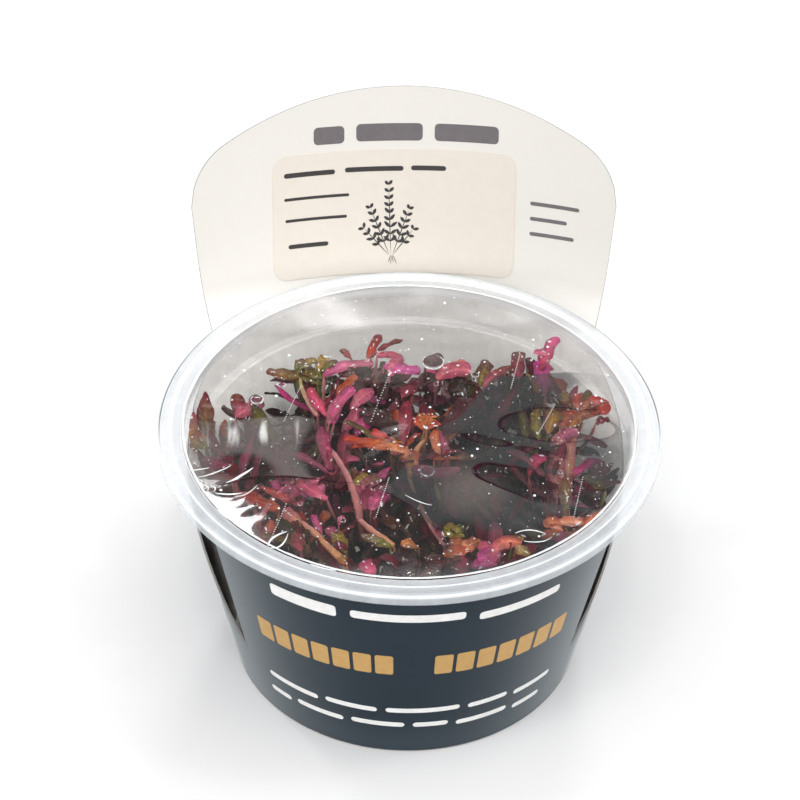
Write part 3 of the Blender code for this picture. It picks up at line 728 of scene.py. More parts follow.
def film_piece():
    """The film as a lower and an upper layer of rings that meet at its edge."""
    points, faces = [], []
    layers = []
    for drop in (FILM_THICKNESS, 0.0):
        rings = []
        for ring in range(FILM_RINGS + 1):
            radius = FILM_RADIUS * (ring / FILM_RINGS) ** 0.8
            count = 1 if ring == 0 else FILM_SEGMENTS
            rings.append(range(len(points), len(points) + count))
            for step in range(count):
                angle = 2 * math.pi * step / FILM_SEGMENTS
                x, y = radius * math.cos(angle), radius * math.sin(angle)
                points.append((x, y, film_height(x, y) - drop))
        layers.append(rings)
    for layer, rings in enumerate(layers):
        for inner, outer in zip(rings, rings[1:]):
            for step in range(FILM_SEGMENTS):
                following = (step + 1) % FILM_SEGMENTS
                corners = [inner[step % len(inner)], outer[step], outer[following],
                           inner[following % len(inner)]]
                corners = list(dict.fromkeys(corners))
                faces.append(corners if layer else list(reversed(corners)))
    for step in range(FILM_SEGMENTS):
        following = (step + 1) % FILM_SEGMENTS
        faces.append([layers[0][-1][step], layers[0][-1][following],
                      layers[1][-1][following], layers[1][-1][step]])
    made = store("sealed_film", points, faces, [film_look()], smooth_angle=60)
    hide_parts("lid_film")


def seal_bead():
    """The puckered lip of film along the seat's inner edge."""
    points, faces = [], []
    count, sides = 260, 6
    for step in range(count):
        angle = 2 * math.pi * step / count
        out = Vector((math.cos(angle), math.sin(angle), 0))
        wander = noise.noise(Vector((out.x * 4, out.y * 4, 2.0)))
        fine = noise.noise(Vector((out.x * 22, out.y * 22, 6.0)))
        middle = out * (SEAT_INNER_RADIUS - 0.1 + 0.22 * wander)
        middle.z = CUP_HEIGHT - SEAT_DEPTH + FILM_THICKNESS + 0.10 + 0.06 * fine
        wide = 0.24 + 0.10 * wander + 0.08 * fine
        for side in range(sides):
            lean = 2 * math.pi * side / sides
            spot = middle + out * wide * math.cos(lean)
            points.append((spot.x, spot.y, spot.z + 0.13 * math.sin(lean)))
    for step in range(count):
        faces += ring_faces((step + 1) % count * sides, step * sides, sides)
    store("film_seal", points, faces, [drop_look("pale fold", SEAL_PALE, 0.12, 0.75)],
          smooth_angle=60)


# Sharp creases in the film: three picture positions along each, and its half width
CREASES = (
    (((198, 476), (214, 470), (231, 462)), 0.16), (((190, 470), (200, 468), (209, 466)), 0.13),
    (((226, 479), (240, 472), (253, 464)), 0.30), (((215, 491), (229, 490), (242, 487)), 0.20),
    (((203, 483), (208, 486), (207, 489)), 0.16), (((210, 484), (215, 486), (213, 490)), 0.15),
    (((268, 546), (273, 536), (287, 529)), 0.26), (((270, 547), (281, 544), (288, 531)), 0.20),
    (((234, 492), (247, 488), (257, 480)), 0.10), (((216, 508), (226, 516), (234, 521)), 0.18),
    (((310, 563), (322, 567), (336, 570)), 0.16),
    (((405, 493), (420, 500), (432, 503)), 0.09), (((515, 532), (530, 529), (546, 533)), 0.14),
    (((524, 540), (540, 541), (552, 536)), 0.10),
)


def film_creases():
    """Ridges where the film is folded, tapered at both ends, painted white as highlights."""
    points, faces = [], []
    for spots, wide in CREASES:
        first, middle, last = (picture_point(across, down, CUP_HEIGHT) for across, down in spots)
        bend = middle * 2 - (first + last) / 2
        rows = 14
        start = len(points)
        for row in range(rows):
            share = row / (rows - 1)
            spot = first * (1 - share) ** 2 + bend * 2 * share * (1 - share) + last * share ** 2
            along = (bend - first) * (1 - share) + (last - bend) * share
            aside = Vector((-along.y, along.x, 0)).normalized()
            half = wide * (0.12 + 0.88 * math.sin(math.pi * share) ** 0.7)
            base = film_height(spot.x, spot.y)
            for across, rise in ((-half, -0.02), (half, -0.02), (half * 0.4, 0.10), (-half * 0.4, 0.10)):
                place = spot + aside * across
                points.append((place.x, place.y, base + rise))
        faces += tube_from(start, rows, 4)
    store("film_creases", points, faces, [drop_look("fold painted highlight", CREASE_PAINTED_HIGHLIGHT, 0.1, 0.8)],
          smooth_angle=80)


def dome(points, faces, centre, radius, depth, sides, rows):
    """A small drop that hangs under the film, closed by a flat top. It stands up if depth is negative."""
    start = len(points)
    for row in range(rows):
        lean = math.pi / 2 * row / rows
        for step in range(sides):
            angle = 2 * math.pi * step / sides
            points.append((centre[0] + radius * math.cos(lean) * math.cos(angle),
                           centre[1] + radius * math.cos(lean) * math.sin(angle),
                           centre[2] - depth * math.sin(lean)))
    points.append((centre[0], centre[1], centre[2] - depth))
    faces.append([start + step for step in range(sides)])
    for row in range(rows - 1):
        low = start + row * sides
        faces += ring_faces(low + sides, low, sides)
    low = start + (rows - 1) * sides
    for step in range(sides):
        faces.append([len(points) - 1, low + (step + 1) % sides, low + step])


def drop_look(name, colour, roughness, cover):
    look = Look(name)
    shade = look.spread(look.grain(900.0, 2.0), 0.3, 0.7, 0.85, 1.0)
    tint = look.mixed(shade, tuple(part * 0.8 for part in colour), colour)
    return look.end(look.shader(Base_Color=tint, Roughness=roughness, Alpha=cover, Coat_Weight=0.5))


def water_look():
    look = Look("water")
    ripple = look.bump(look.grain(300.0, 2.0), 0.00003)
    return look.end(look.shader(Base_Color=WATER_CLEAR, Roughness=0.02, IOR=1.33,
                                Transmission_Weight=1.0, Normal=ripple))


# Larger drops under the film by picture position, and their radius
LARGE_DROPS = (
    (433, 361, 2.3), (257, 398, 1.35), (282, 383, 0.75), (475, 374, 0.8), (427, 469, 1.5), (367, 358, 0.5),
    (436, 383, 0.5), (255, 499, 0.5), (343, 519, 0.55), (560, 471, 0.5), (476, 469, 0.5), (300, 500, 0.5),
)
# Fine drops: how many, how many of them are broad, and how far from the middle they reach
DROP_COUNT = 320
BROAD_DROPS = 27
DROP_REACH = 43.5


def film_drops():
    """Fine drops all over the film, painted pale as highlights, and a few larger clear ones under it."""
    draw = random.Random(SEED)
    points, faces = [], []
    for number in range(DROP_COUNT):
        radius = DROP_REACH * math.sqrt(draw.random())
        angle = draw.uniform(0, 2 * math.pi)
        x, y = radius * math.cos(angle), radius * math.sin(angle)
        size = draw.uniform(0.22, 0.34) if number < BROAD_DROPS else draw.choice((0.08, 0.10, 0.12, 0.15))
        dome(points, faces, (x, y, film_height(x, y) + 0.01), size, -size * 0.7, 8, 3)
    store("film_drops", points, faces, [drop_look("drops painted highlight", DROP_PAINTED_HIGHLIGHT, 0.2, 1.0)])
    points, faces = [], []
    for across, down, radius in LARGE_DROPS:
        spot = picture_point(across, down, CUP_HEIGHT - 0.3)
        top = film_height(spot.x, spot.y) - FILM_THICKNESS - 0.03
        dome(points, faces, (spot.x, spot.y, top), radius, min(radius * 0.6, 0.9), 28, 10)
    store("water_drops", points, faces, [water_look()], smooth_angle=50)


# Rows of fine holes in the film, each from one picture position to another
HOLE_ROWS = (
    (301, 383, 284, 419), (389, 373, 371, 419), (520, 353, 511, 386), (555, 403, 538, 432),
    (286, 499, 268, 545), (389, 476, 376, 515), (583, 476, 574, 515),
)
HOLES_IN_ROW = 19


def film_holes():
    """Punched holes in the film, as small raised rims painted pale as highlights."""
    points, faces = [], []
    for first_x, first_y, last_x, last_y in HOLE_ROWS:
        first = picture_point(first_x, first_y, CUP_HEIGHT)
        last = picture_point(last_x, last_y, CUP_HEIGHT)
        for step in range(HOLES_IN_ROW):
            spot = first.lerp(last, step / (HOLES_IN_ROW - 1))
            dome(points, faces, (spot.x, spot.y, film_height(spot.x, spot.y) + 0.01), 0.12, -0.08, 8, 2)
    store("film_holes", points, faces, [drop_look("hole edges painted highlight", HOLE_EDGE_PAINTED_HIGHLIGHT, 0.3, 1.0)])


# Gel

def gel_look():
    look = Look("clear gel")
    colour = look.mixed(look.grain(60.0, 3.0), GEL_AMBER, GEL_PALE)
    return look.end(look.shader(Base_Color=colour, Roughness=0.08, IOR=1.34, Transmission_Weight=0.8,
                                Normal=look.bump(look.grain(200.0), 0.0002)))


def gel_piece():
    top = GEL_RADIUS + GEL_FLARE
    profile = soften([(0, GEL_BOTTOM, 0), (GEL_RADIUS, GEL_BOTTOM, 0.8), (top - 0.3, GEL_TOP - 0.6, 0.5),
                      (top, GEL_TOP, 0.2), (top - 1.2, GEL_TOP - 0.5, 0.6), (0, GEL_TOP - 0.6, 0)])
    points, faces = revolve(profile, 96)
    made = store("growing_gel", points, faces, [gel_look()])
    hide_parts("nutrient_gel")


# Card sleeve

def sleeve_radius(height):
    """Radius of the sleeve's outer face."""
    return SLEEVE_RADIUS + SLEEVE_SLOPE * height


def smooth_share(value, low, high):
    share = clipped(value, low, high)
    return share ** 3 * (share * (share * 6 - 15) + 10)


def panel_point(across, height):
    """Outer face of the back of the sleeve, at a length across from its middle line."""
    rise = max(height - SLIT_HEIGHT, 0.0)
    radius = sleeve_radius(height)
    back = radius + LEAN_SLOPE * rise
    opening = smooth_share(height, OPEN_START, OPEN_HEIGHT)
    wrapped = Vector((radius * math.sin(across / radius),
                      back - radius * (1 - math.cos(across / radius)), height))
    spread = Vector((DISPLAY_RADIUS * math.sin(across / DISPLAY_RADIUS),
                     back - DISPLAY_RADIUS * (1 - math.cos(across / DISPLAY_RADIUS)), height))
    return wrapped.lerp(spread, opening)


def lean_cosine():
    """How much of a length along the display panel is height."""
    return math.cos(math.atan(SLEEVE_SLOPE + LEAN_SLOPE))


def corner_rise():
    reach = ARCH_RADIUS - CORNER_RADIUS
    along = SHOULDER_HALF_WIDTH - CORNER_RADIUS
    return ARCH_RISE - ARCH_RADIUS + math.sqrt(reach ** 2 - along ** 2)


def shoulder_height():
    return CUP_HEIGHT + corner_rise() * lean_cosine()


def top_edge_height(across):
    """Height of the panel's arched top edge, with round corners."""
    corner = SHOULDER_HALF_WIDTH - CORNER_RADIUS
    touch = corner * ARCH_RADIUS / (ARCH_RADIUS - CORNER_RADIUS)
    if abs(across) < touch:
        rise = ARCH_RISE - ARCH_RADIUS + math.sqrt(ARCH_RADIUS ** 2 - across ** 2)
    else:
        past = abs(across) - corner
        rise = corner_rise() + math.sqrt(max(CORNER_RADIUS ** 2 - past ** 2, 0.0))
    return CUP_HEIGHT + rise * lean_cosine()


def half_width(height):
    """Half the width of the back of the sleeve, measured along the card."""
    tip = sleeve_radius(SLIT_HEIGHT) * (math.pi - SLIT_ANGLE)
    if height <= SLIT_HEIGHT:
        return sleeve_radius(height) * (math.pi - SLIT_ANGLE)
    if height >= WAIST_HEIGHT:
        share = (height - WAIST_HEIGHT) / (shoulder_height() - WAIST_HEIGHT)
        return WAIST_HALF_WIDTH + (SHOULDER_HALF_WIDTH - WAIST_HALF_WIDTH) * share
    share = (height - SLIT_HEIGHT) / (WAIST_HEIGHT - SLIT_HEIGHT)
    return tip - (tip - WAIST_HALF_WIDTH) * share ** SLIT_FALL_POWER


def slate_look():
    look = Look("slate print")
    mottle = look.grain(2600.0, 2.0, 0.5)
    foot = look.spread(look.apart()[2], 0.001, 0.014, 1.0, 0.0)
    # The print turns paler towards glancing angles: painted sheen, and painted glare at the very edge.
    slant = look.slant()
    colour = look.layered(
        SLATE_DARK, (look.spread(mottle, 0.3, 0.7, 0.0, 1.0), SLATE_LIGHT),
        (look.spread(look.grain(40.0, 3.0), 0.35, 0.75, 0.0, 0.4), SLATE_BROAD),
        (look.times(foot, 0.5), SLATE_FOOT), (look.times(look.spread(slant, 0.44, 1.0), 0.58), SLATE_PAINTED_SHEEN),
        (look.spread(slant, 0.86, 1.0, 0.0, 0.8), SLATE_PAINTED_GLARE))
    return look.end(look.shader(Base_Color=colour, Roughness=look.spread(mottle, 0.2, 0.8, 0.28, 0.30),
                                IOR=1.23, Normal=look.bump(mottle, 0.000001)))


def board_look(name, base, shade, broad_shade, *layers):
    """Uncoated board or paper with fine and broad mottling, and further layers by their shares."""
    look = Look(name)
    mottle = look.grain(500.0, 5.0, 0.6)
    broad = look.spread(look.grain(18.0, 3.0), 0.4, 0.8, 0.0, 0.3)
    colour = look.layered(base, (look.spread(mottle, 0.3, 0.7), shade), (broad, broad_shade),
                          *((share(look), over) for share, over in layers))
    return look.end(look.shader(Base_Color=colour, Roughness=look.spread(mottle, 0.2, 0.8, 0.45, 0.6),
                                IOR=1.45, Normal=look.bump(mottle, 0.00003)))


# Painted light: the board is painted whiter below the rim, behind the cup.
def painted_light_behind_cup(look):
    return look.spread(look.apart()[2], 0.050, 0.057, 1.0, 0.0)


# Painted shade: the inner face is painted near-black towards the front near the slits, most strongly low
# down.
def painted_shade_near_slits(look):
    _, y, z = look.apart()
    return look.times(look.spread(y, -0.004, 0.010, 1.0, 0.0), look.spread(z, 0.034, 0.045, 1.0, 0.55))


def inside_look():
    """The board's inner face: pale on the panel, with painted light behind the cup and painted shade near
    the slits.
    """
    return board_look("cream board", BOARD_CREAM, BOARD_MOTTLE, BOARD_BROAD,
                      (painted_light_behind_cup, BOARD_PAINTED_LIGHT), (painted_shade_near_slits, BOARD_PAINTED_SHADE))


def card_piece():
    """The sheet as one grid: a full cone below, a front panel and the wide back above the slits."""
    points, faces = [], []

    def add_row(row):
        points.extend(row)
        return list(range(len(points) - len(row), len(points)))

    def join(lower, upper):
        for step in range(len(lower) - 1):
            corners = [lower[step], lower[step + 1], upper[step + 1], upper[step]]
            faces.append(list(dict.fromkeys(corners)))

    def cone_point(angle, height):
        radius = sleeve_radius(height)
        return (radius * math.sin(angle), -radius * math.cos(angle), height)

    low_levels = [SLEEVE_BOTTOM + (SLIT_HEIGHT - SLEEVE_BOTTOM) * step / 6 for step in range(7)]
    high_levels = [SLIT_HEIGHT + (FRONT_TOP - SLIT_HEIGHT) * step / FRONT_ROWS
                   for step in range(1, FRONT_ROWS + 1)]
    angles = [SLIT_ANGLE * (2 * step / FRONT_COLUMNS - 1) for step in range(FRONT_COLUMNS + 1)]
    front = [add_row([cone_point(angle, height) for angle in angles])
             for height in low_levels + high_levels]
    for lower, upper in zip(front, front[1:]):
        join(lower, upper)

    shares = []
    for step in range(BACK_COLUMNS + 1):
        even = 1 - 2 * step / BACK_COLUMNS
        shares.append(0.55 * even + 0.45 * math.sin(even * math.pi / 2))
    rows = []
    for index, height in enumerate(low_levels):
        width = half_width(height)
        middle = add_row([panel_point(share * width, height) for share in shares[1:-1]])
        rows.append([front[index][-1], *middle, front[index][0]])
    shoulder = shoulder_height()
    count = round((shoulder - SLIT_HEIGHT) / PANEL_STEP)
    for step in range(1, count + 1):
        height = SLIT_HEIGHT + (shoulder - SLIT_HEIGHT) * step / count
        width = half_width(height)
        rows.append(add_row([panel_point(share * width, height) for share in shares]))
    for row in range(1, ARCH_ROWS + 1):
        line = []
        for share in shares[1:-1]:
            across = share * SHOULDER_HALF_WIDTH
            top = top_edge_height(across)
            line.append(panel_point(across, shoulder + (top - shoulder) * row / ARCH_ROWS))
        middle = add_row(line)
        rows.append([rows[-1][0], *middle, rows[-1][-1]])
    for lower, upper in zip(rows, rows[1:]):
        join(lower, upper)

    cream = inside_look()
    # The edge of the board is painted dark grey, as painted shade.
    edge = board_look("shaded cut edge", CUT_GREY_PAINTED_SHADE, CUT_SHADE, CUT_SHADE)
    made = store("printed_card", points, faces, [slate_look(), cream, edge], smooth_angle=30)
    thicken(made, CARD, back_slot=1, rim_slot=2)
    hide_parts("card_sleeve")


# Places for print: on the front of the sleeve and on the display panel

def sleeve_place(angle, height, lift):
    radius = sleeve_radius(height) + lift
    turn = math.radians(angle)
    return (radius * math.sin(turn), -radius * math.cos(turn), height - lift * SLEEVE_SLOPE)


def panel_place(across, height, lift):
    spot = panel_point(across, height)
    return (spot.x, spot.y - (CARD + lift) / lean_cosine(), spot.z)


def rounded_columns(half_length, corner, steps, count):
    """Places from one end of a rounded bar to the other, each with the inset of its edges there."""
    reach = half_length - corner
    ends = [half_length - corner * (1 - math.sin(math.pi / 2 * (1 - step / steps)))
            for step in range(steps)]
    straight = [reach * (1 - 2 * step / count) for step in range(count + 1)]
    for value in [-value for value in ends + straight] + list(reversed(ends)):
        past = max(abs(value) - reach, 0.0)
        yield value, corner - math.sqrt(max(corner ** 2 - past ** 2, 0.0))


def plate(points, faces, place, middle, half_length, half_height, corner, lift, unit):
    """A thin rounded bar that follows the card. unit is the length of one step of place's first value."""
    start = len(points)
    count = max(1, int((half_length - corner) * 2 / 1.5))
    for value, inset in rounded_columns(half_length, corner, 3, count):
        half = max(half_height - inset, half_height * 0.04)
        across = middle[0] + value / unit
        low, high = middle[1] - half, middle[1] + half
        for height, rise in ((low, 0.0), (low, INK), (high, INK), (high, 0.0)):
            points.append(place(across, height, lift + rise))
    faces += tube_from(start, (len(points) - start) // 4, 4)


def ink_look(name, colour, metal, roughness):
    look = Look(name)
    speckle = look.grain(700.0, 4.0, 0.6)
    tint = look.mixed(look.spread(speckle, 0.3, 0.7), tuple(part * 0.9 for part in colour), colour)
    return look.end(look.shader(Base_Color=tint, Metallic=metal, Roughness=roughness,
                                Normal=look.bump(speckle, 0.00002)))


# Bars on the sleeve: from and to in degrees round the cone, height of the middle, height
WHITE_BARS = (
    (-36.5, -19.0, 46.3, 3.4), (-15.5, 12.0, 46.6, 2.3), (15.5, 37.5, 45.4, 2.3),
    (-45.5, -28.0, 14.3, 1.5), (-25.5, -10.0, 14.9, 1.5), (-7.5, 14.0, 15.1, 1.5),
    (16.5, 29.0, 14.7, 1.5), (31.5, 45.5, 13.8, 1.5),
    (-46.5, -38.5, 8.9, 1.5), (-36.0, -20.5, 9.5, 1.5), (-18.0, -2.0, 10.0, 1.5),
    (0.5, 11.0, 10.0, 1.5), (13.5, 30.0, 9.4, 1.5), (32.5, 43.0, 8.4, 1.5),
)
# Bars on the display panel: from and to across it, height of the middle, height
HEADING_BARS = ((-19.0, -12.5, 84.5, 3.6), (-10.0, 4.0, 84.7, 3.6), (6.5, 20.0, 84.7, 3.6))
LABEL_BARS = (
    (-25.4, -14.5, 77.0, 1.0), (-12.4, 0.0, 77.2, 1.0), (1.6, 9.0, 77.3, 1.0), (-25.4, -11.5, 72.0, 0.6),
    (-25.2, -12.0, 67.5, 0.6), (-24.6, -16.0, 62.0, 0.9),
)
SIDE_BARS = ((27.0, 37.6, 71.4, 0.8), (27.0, 35.0, 68.2, 0.8), (27.0, 36.6, 65.0, 0.8))


# Gold blocks in degrees round the cone: where the two groups start, step, width, then height and size
GOLD_STARTS = (-44.5, 5.5)
GOLD_COUNT = 7
GOLD_STEP = 5.75
GOLD_WIDTH = 4.75
GOLD_HEIGHT = 30.9
GOLD_FALL = 0.0003
GOLD_TALL = 6.2


def gold_blocks():
    """Two groups of even blocks round the front of the sleeve."""
    starts = [first + GOLD_STEP * step for first in GOLD_STARTS for step in range(GOLD_COUNT)]
    return [(start, start + GOLD_WIDTH, GOLD_HEIGHT - GOLD_FALL * start ** 2, GOLD_TALL)
            for start in starts]


def bars(name, rows, place, corner, lift, look, unit_at=None):
    """Plain rounded bars that follow the card."""
    points, faces = [], []
    for first, last, height, tall in rows:
        unit = math.radians(1) * sleeve_radius(height) if unit_at is None else unit_at
        half = (last - first) / 2 * unit
        plate(points, faces, place, ((first + last) / 2, height), half, tall / 2,
              min(corner, tall * 0.49, half * 0.9), lift, unit)
    return store(name, points, faces, [look], smooth_angle=50)


# The label's plant drawing: where it stands, and its stems' angle, length and place across
SPRIG_FOOT = 58.8
SPRIG_STEMS = ((92, 15.0, -2.6), (112, 11.0, -2.9), (70, 10.5, -2.3), (132, 8.0, -3.0), (52, 7.0, -2.2))


def sprig(points, faces, lift):
    """A plain twig with paired leaves, drawn with flat leaf shapes on the label."""
    draw = random.Random(SEED + 7)

    def leaf_shape(start_x, start_y, angle, length, width):
        ring = []
        steps = 7
        for step in range(steps):
            share = step / (steps - 1)
            ring.append((share, width * math.sin(math.pi * share) ** 0.8))
        outline = ring + [(share, -wide) for share, wide in reversed(ring[1:-1])]
        first = len(points)
        for share, wide in outline:
            across = start_x + length * share * math.cos(angle) - wide * math.sin(angle)
            height = start_y + length * share * math.sin(angle) + wide * math.cos(angle)
            points.append(panel_place(across, height, lift))
            points.append(panel_place(across, height, lift + INK))
        count = len(outline)
        faces.append([first + 1 + 2 * step for step in reversed(range(count))])
        faces.append([first + 2 * step for step in range(count)])
        for step in range(count):
            following = (step + 1) % count
            faces.append([first + 2 * step, first + 1 + 2 * step,
                          first + 1 + 2 * following, first + 2 * following])

    for stem_angle, stem_length, stem_x in SPRIG_STEMS:
        angle = math.radians(stem_angle)
        leaf_shape(stem_x, SPRIG_FOOT, angle, stem_length, 0.11)
        pairs = int(stem_length / 1.5)
        for pair in range(2, pairs + 1):
            along = stem_length * pair / pairs
            x = stem_x + along * math.cos(angle)
            y = SPRIG_FOOT + along * math.sin(angle)
            size = 1.9 * (1.15 - 0.5 * pair / pairs)
            for side in (-1, 1):
                leaf_shape(x, y, angle + side * math.radians(48 + draw.uniform(-9, 9)),
                           size * draw.uniform(0.85, 1.1), 0.34)
    for step in range(4):
        leaf_shape(-2.6 + 0.15 * step, SPRIG_FOOT + 0.1, math.radians(250 + 14 * step),
                   1.8 + 0.4 * (step % 2), 0.07)


def prints():
    white = ink_look("white ink", INK_WHITE, 0.0, 0.4)
    gold = ink_look("gold ink", INK_GOLD, 0.35, 0.42)
    grey = ink_look("grey ink", INK_GREY, 0.0, 0.5)
    dark = ink_look("dark ink", INK_DARK, 0.0, 0.5)
    bars("sleeve_white_bars", WHITE_BARS, sleeve_place, 0.7, 0.0, white)
    bars("sleeve_gold_blocks", gold_blocks(), sleeve_place, 0.5, 0.0, gold)
    bars("display_heading_bars", HEADING_BARS, panel_place, 0.9, 0.0, grey, 1.0)
    bars("display_side_bars", SIDE_BARS, panel_place, 0.4, 0.0, grey, 1.0)
    on_label = LABEL_GAP + LABEL_THICKNESS
    bars("label_bars", LABEL_BARS, panel_place, 0.5, on_label, dark, 1.0)
    points, faces = [], []
    sprig(points, faces, on_label)
    store("label_sprig", points, faces, [dark], smooth_angle=None)


def label_piece():
    """The sticker as a grid that follows the panel, with round corners."""
    points, faces = [], []
    rows = 16
    stride = rows + 1
    for value, inset in rounded_columns(LABEL_HALF_WIDTH, LABEL_CORNER, 8, 40):
        low = LABEL_BOTTOM + inset
        high = LABEL_TOP - inset
        for row in range(stride):
            points.append(panel_place(LABEL_CENTRE - value, low + (high - low) * row / rows, LABEL_GAP))
    for first in range(len(points) - stride):
        if first % stride < rows:
            faces.append((first, first + stride, first + stride + 1, first + 1))
    look = board_look("label paper", LABEL_PAPER, LABEL_SHADE, LABEL_SHADE)
    made = store("paper_label", points, faces, [look], smooth_angle=30)
    thicken(made, LABEL_THICKNESS)
    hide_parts("label_sticker")


# Plants

def inner_radius(height):
    """Radius of the cup's inner wall at a height."""
    return FLOOR_RADIUS + (LEDGE_RADIUS - FLOOR_RADIUS) * clipped(height, 0.0, LEDGE_HEIGHT)


def shaded(tints, spots, low, high, power, least):
    """Colours that darken towards the bottom of the cup, where little light comes."""
    depth = np.clip((spots[:, 2:3] - low) / (high - low), 0.0, 1.0) ** power
    return tints * (least + (1 - least) * depth)


def pressed(values, limit, give):
    """Values that flatten softly as they come up to a limit and never pass it."""
    over = values > limit - give
    soft = limit - give * np.exp(-np.maximum(values - limit + give, 0.0) / give)
    return np.where(over, soft, values)


def held_inside(spots, margin):
    """Push points in from the wall and down from the film."""
    ceiling = np.full(len(spots), PLANT_CEILING)
    for index in np.nonzero(spots[:, 2] > 51.5)[0]:
        ceiling[index] = min(PLANT_CEILING, film_height(spots[index, 0], spots[index, 1]) - 0.4)
    spots[:, 2] = pressed(spots[:, 2], ceiling - margin * 0.3, 1.2)
    share = np.clip(spots[:, 2], 0.0, LEDGE_HEIGHT) / LEDGE_HEIGHT
    limit = FLOOR_RADIUS + (LEDGE_RADIUS - FLOOR_RADIUS) * share
    limit = limit + NECK_STEP * np.clip(spots[:, 2] - LEDGE_HEIGHT - 1.2, 0.0, 1.0) - margin
    reach = np.maximum(np.hypot(spots[:, 0], spots[:, 1]), 1e-6)
    squeeze = pressed(reach, limit, 0.8) / reach
    spots[:, 0] *= squeeze
    spots[:, 1] *= squeeze
    return spots


class Growth:
    """One shoot's skin as it is put together."""

    def __init__(self):
        self.points = []
        self.faces = []
        self.tints = []
        self.blades = []
        self.beads = []
        self.count = 0

    def add(self, spots, tints, blades, faces):
        self.points.append(spots)
        self.tints.append(tints)
        self.blades.append(blades)
        self.faces.extend([[self.count + corner for corner in face] for face in faces])
        self.count += len(spots)


def leaf_outline(share, shape):
    """Half width along a leaf, as a share of its widest place."""
    if shape == "spear":
        return np.maximum(np.sin(np.pi * np.clip(share * 0.9 + 0.09, 0, 1) ** 0.85) ** 0.72, 0.02)
    if shape == "round":
        base, full, blunt = 0.20, 0.55, 0.58
    else:
        base, full, blunt = 0.36, 0.34, 0.70
    rise = base + (1 - base) * np.minimum(share / full, 1.0) ** 0.9
    end = np.maximum(share - blunt, 0.0) / (1.01 - blunt)
    return rise * np.sqrt(np.maximum(1 - end ** 2.4, 0.0)) + 0.01


def grow_leaf(growth, root, knee, tip, width, up, colours, shape, cup, wave, draw, rows=11, sides=6):
    """A thin curved blade from root to tip, closed all round."""
    share = np.linspace(0.0, 0.995, rows)[:, None]
    root, knee, tip, up = (np.array(value, float) for value in (root, knee, tip, up))
    centre, along = arc(root, knee, tip, share)
    side = np.cross(along, up)
    side /= np.maximum(np.linalg.norm(side, axis=1, keepdims=True), 1e-6)
    face = np.cross(side, along)
    twist = draw.uniform(-0.5, 0.5) * share + draw.uniform(-0.2, 0.2)
    side, face = side * np.cos(twist) + face * np.sin(twist), face * np.cos(twist) - side * np.sin(twist)
    half = leaf_outline(share, shape) * width / 2
    half = half * (1 + 0.10 * np.sin(share * draw.uniform(8, 14) + draw.uniform(0, 6)))
    top = np.linspace(-1.0, 1.0, sides + 1)
    across = np.concatenate([top, top[-2:0:-1]])
    skin = np.concatenate([np.ones(sides + 1), -np.ones(sides - 1)])
    skin[0] = skin[sides] = 0.0
    thick = LEAF_THICKNESS * 0.5 * (1 - 0.75 * across ** 2) * skin
    groove = -0.10 * np.exp(-(across / 0.16) ** 2) * skin
    ripple = wave * np.sin(share * draw.uniform(9, 15) + draw.uniform(0, 6.28) + across[None, :] * 1.4)
    ripple = ripple * across[None, :] ** 2
    ripple += 0.45 * wave * np.sin(share * draw.uniform(20, 30) + across[None, :] * draw.uniform(2, 4))
    rise = cup * half * across[None, :] ** 2 + ripple + (thick + groove)[None, :]
    spots = (centre[:, None, :] + side[:, None, :] * (across[None, :, None] * half[:, :, None])
             + face[:, None, :] * rise[:, :, None]).reshape(-1, 3)
    held_inside(spots, 0.35)
    base, end = (np.array(colour) for colour in colours)
    hue = np.array([draw.uniform(0.8, 1.15), draw.uniform(0.7, 1.3), draw.uniform(0.75, 1.2)])
    margin = 1 - np.outer(across ** 2, LEAF_MARGIN)
    tints = ((base * (1 - share) + end * share) * hue)[:, None, :] * margin[None, :, :]
    tints = shaded(tints.reshape(-1, 3), spots, *LEAF_DEPTH)
    blades = np.stack([np.tile(across, rows), np.repeat(share[:, 0], len(across)),
                       np.full(len(spots), draw.random())], axis=1)
    growth.add(spots, tints, blades, tube_grid(rows, sides * 2))
    if spots[:, 2].max() > BEAD_LOWEST:
        for _ in range(draw.choice((1, 2, 3)) if sides > 6 else draw.choice((0, 1, 1))):
            row = draw.randrange(1, rows - 2)
            column = draw.randrange(1, sides)
            spot = spots[row * len(across) + column]
            ahead = spots[(row + 1) * len(across) + column]
            growth.beads.append((spot, ahead - spot))


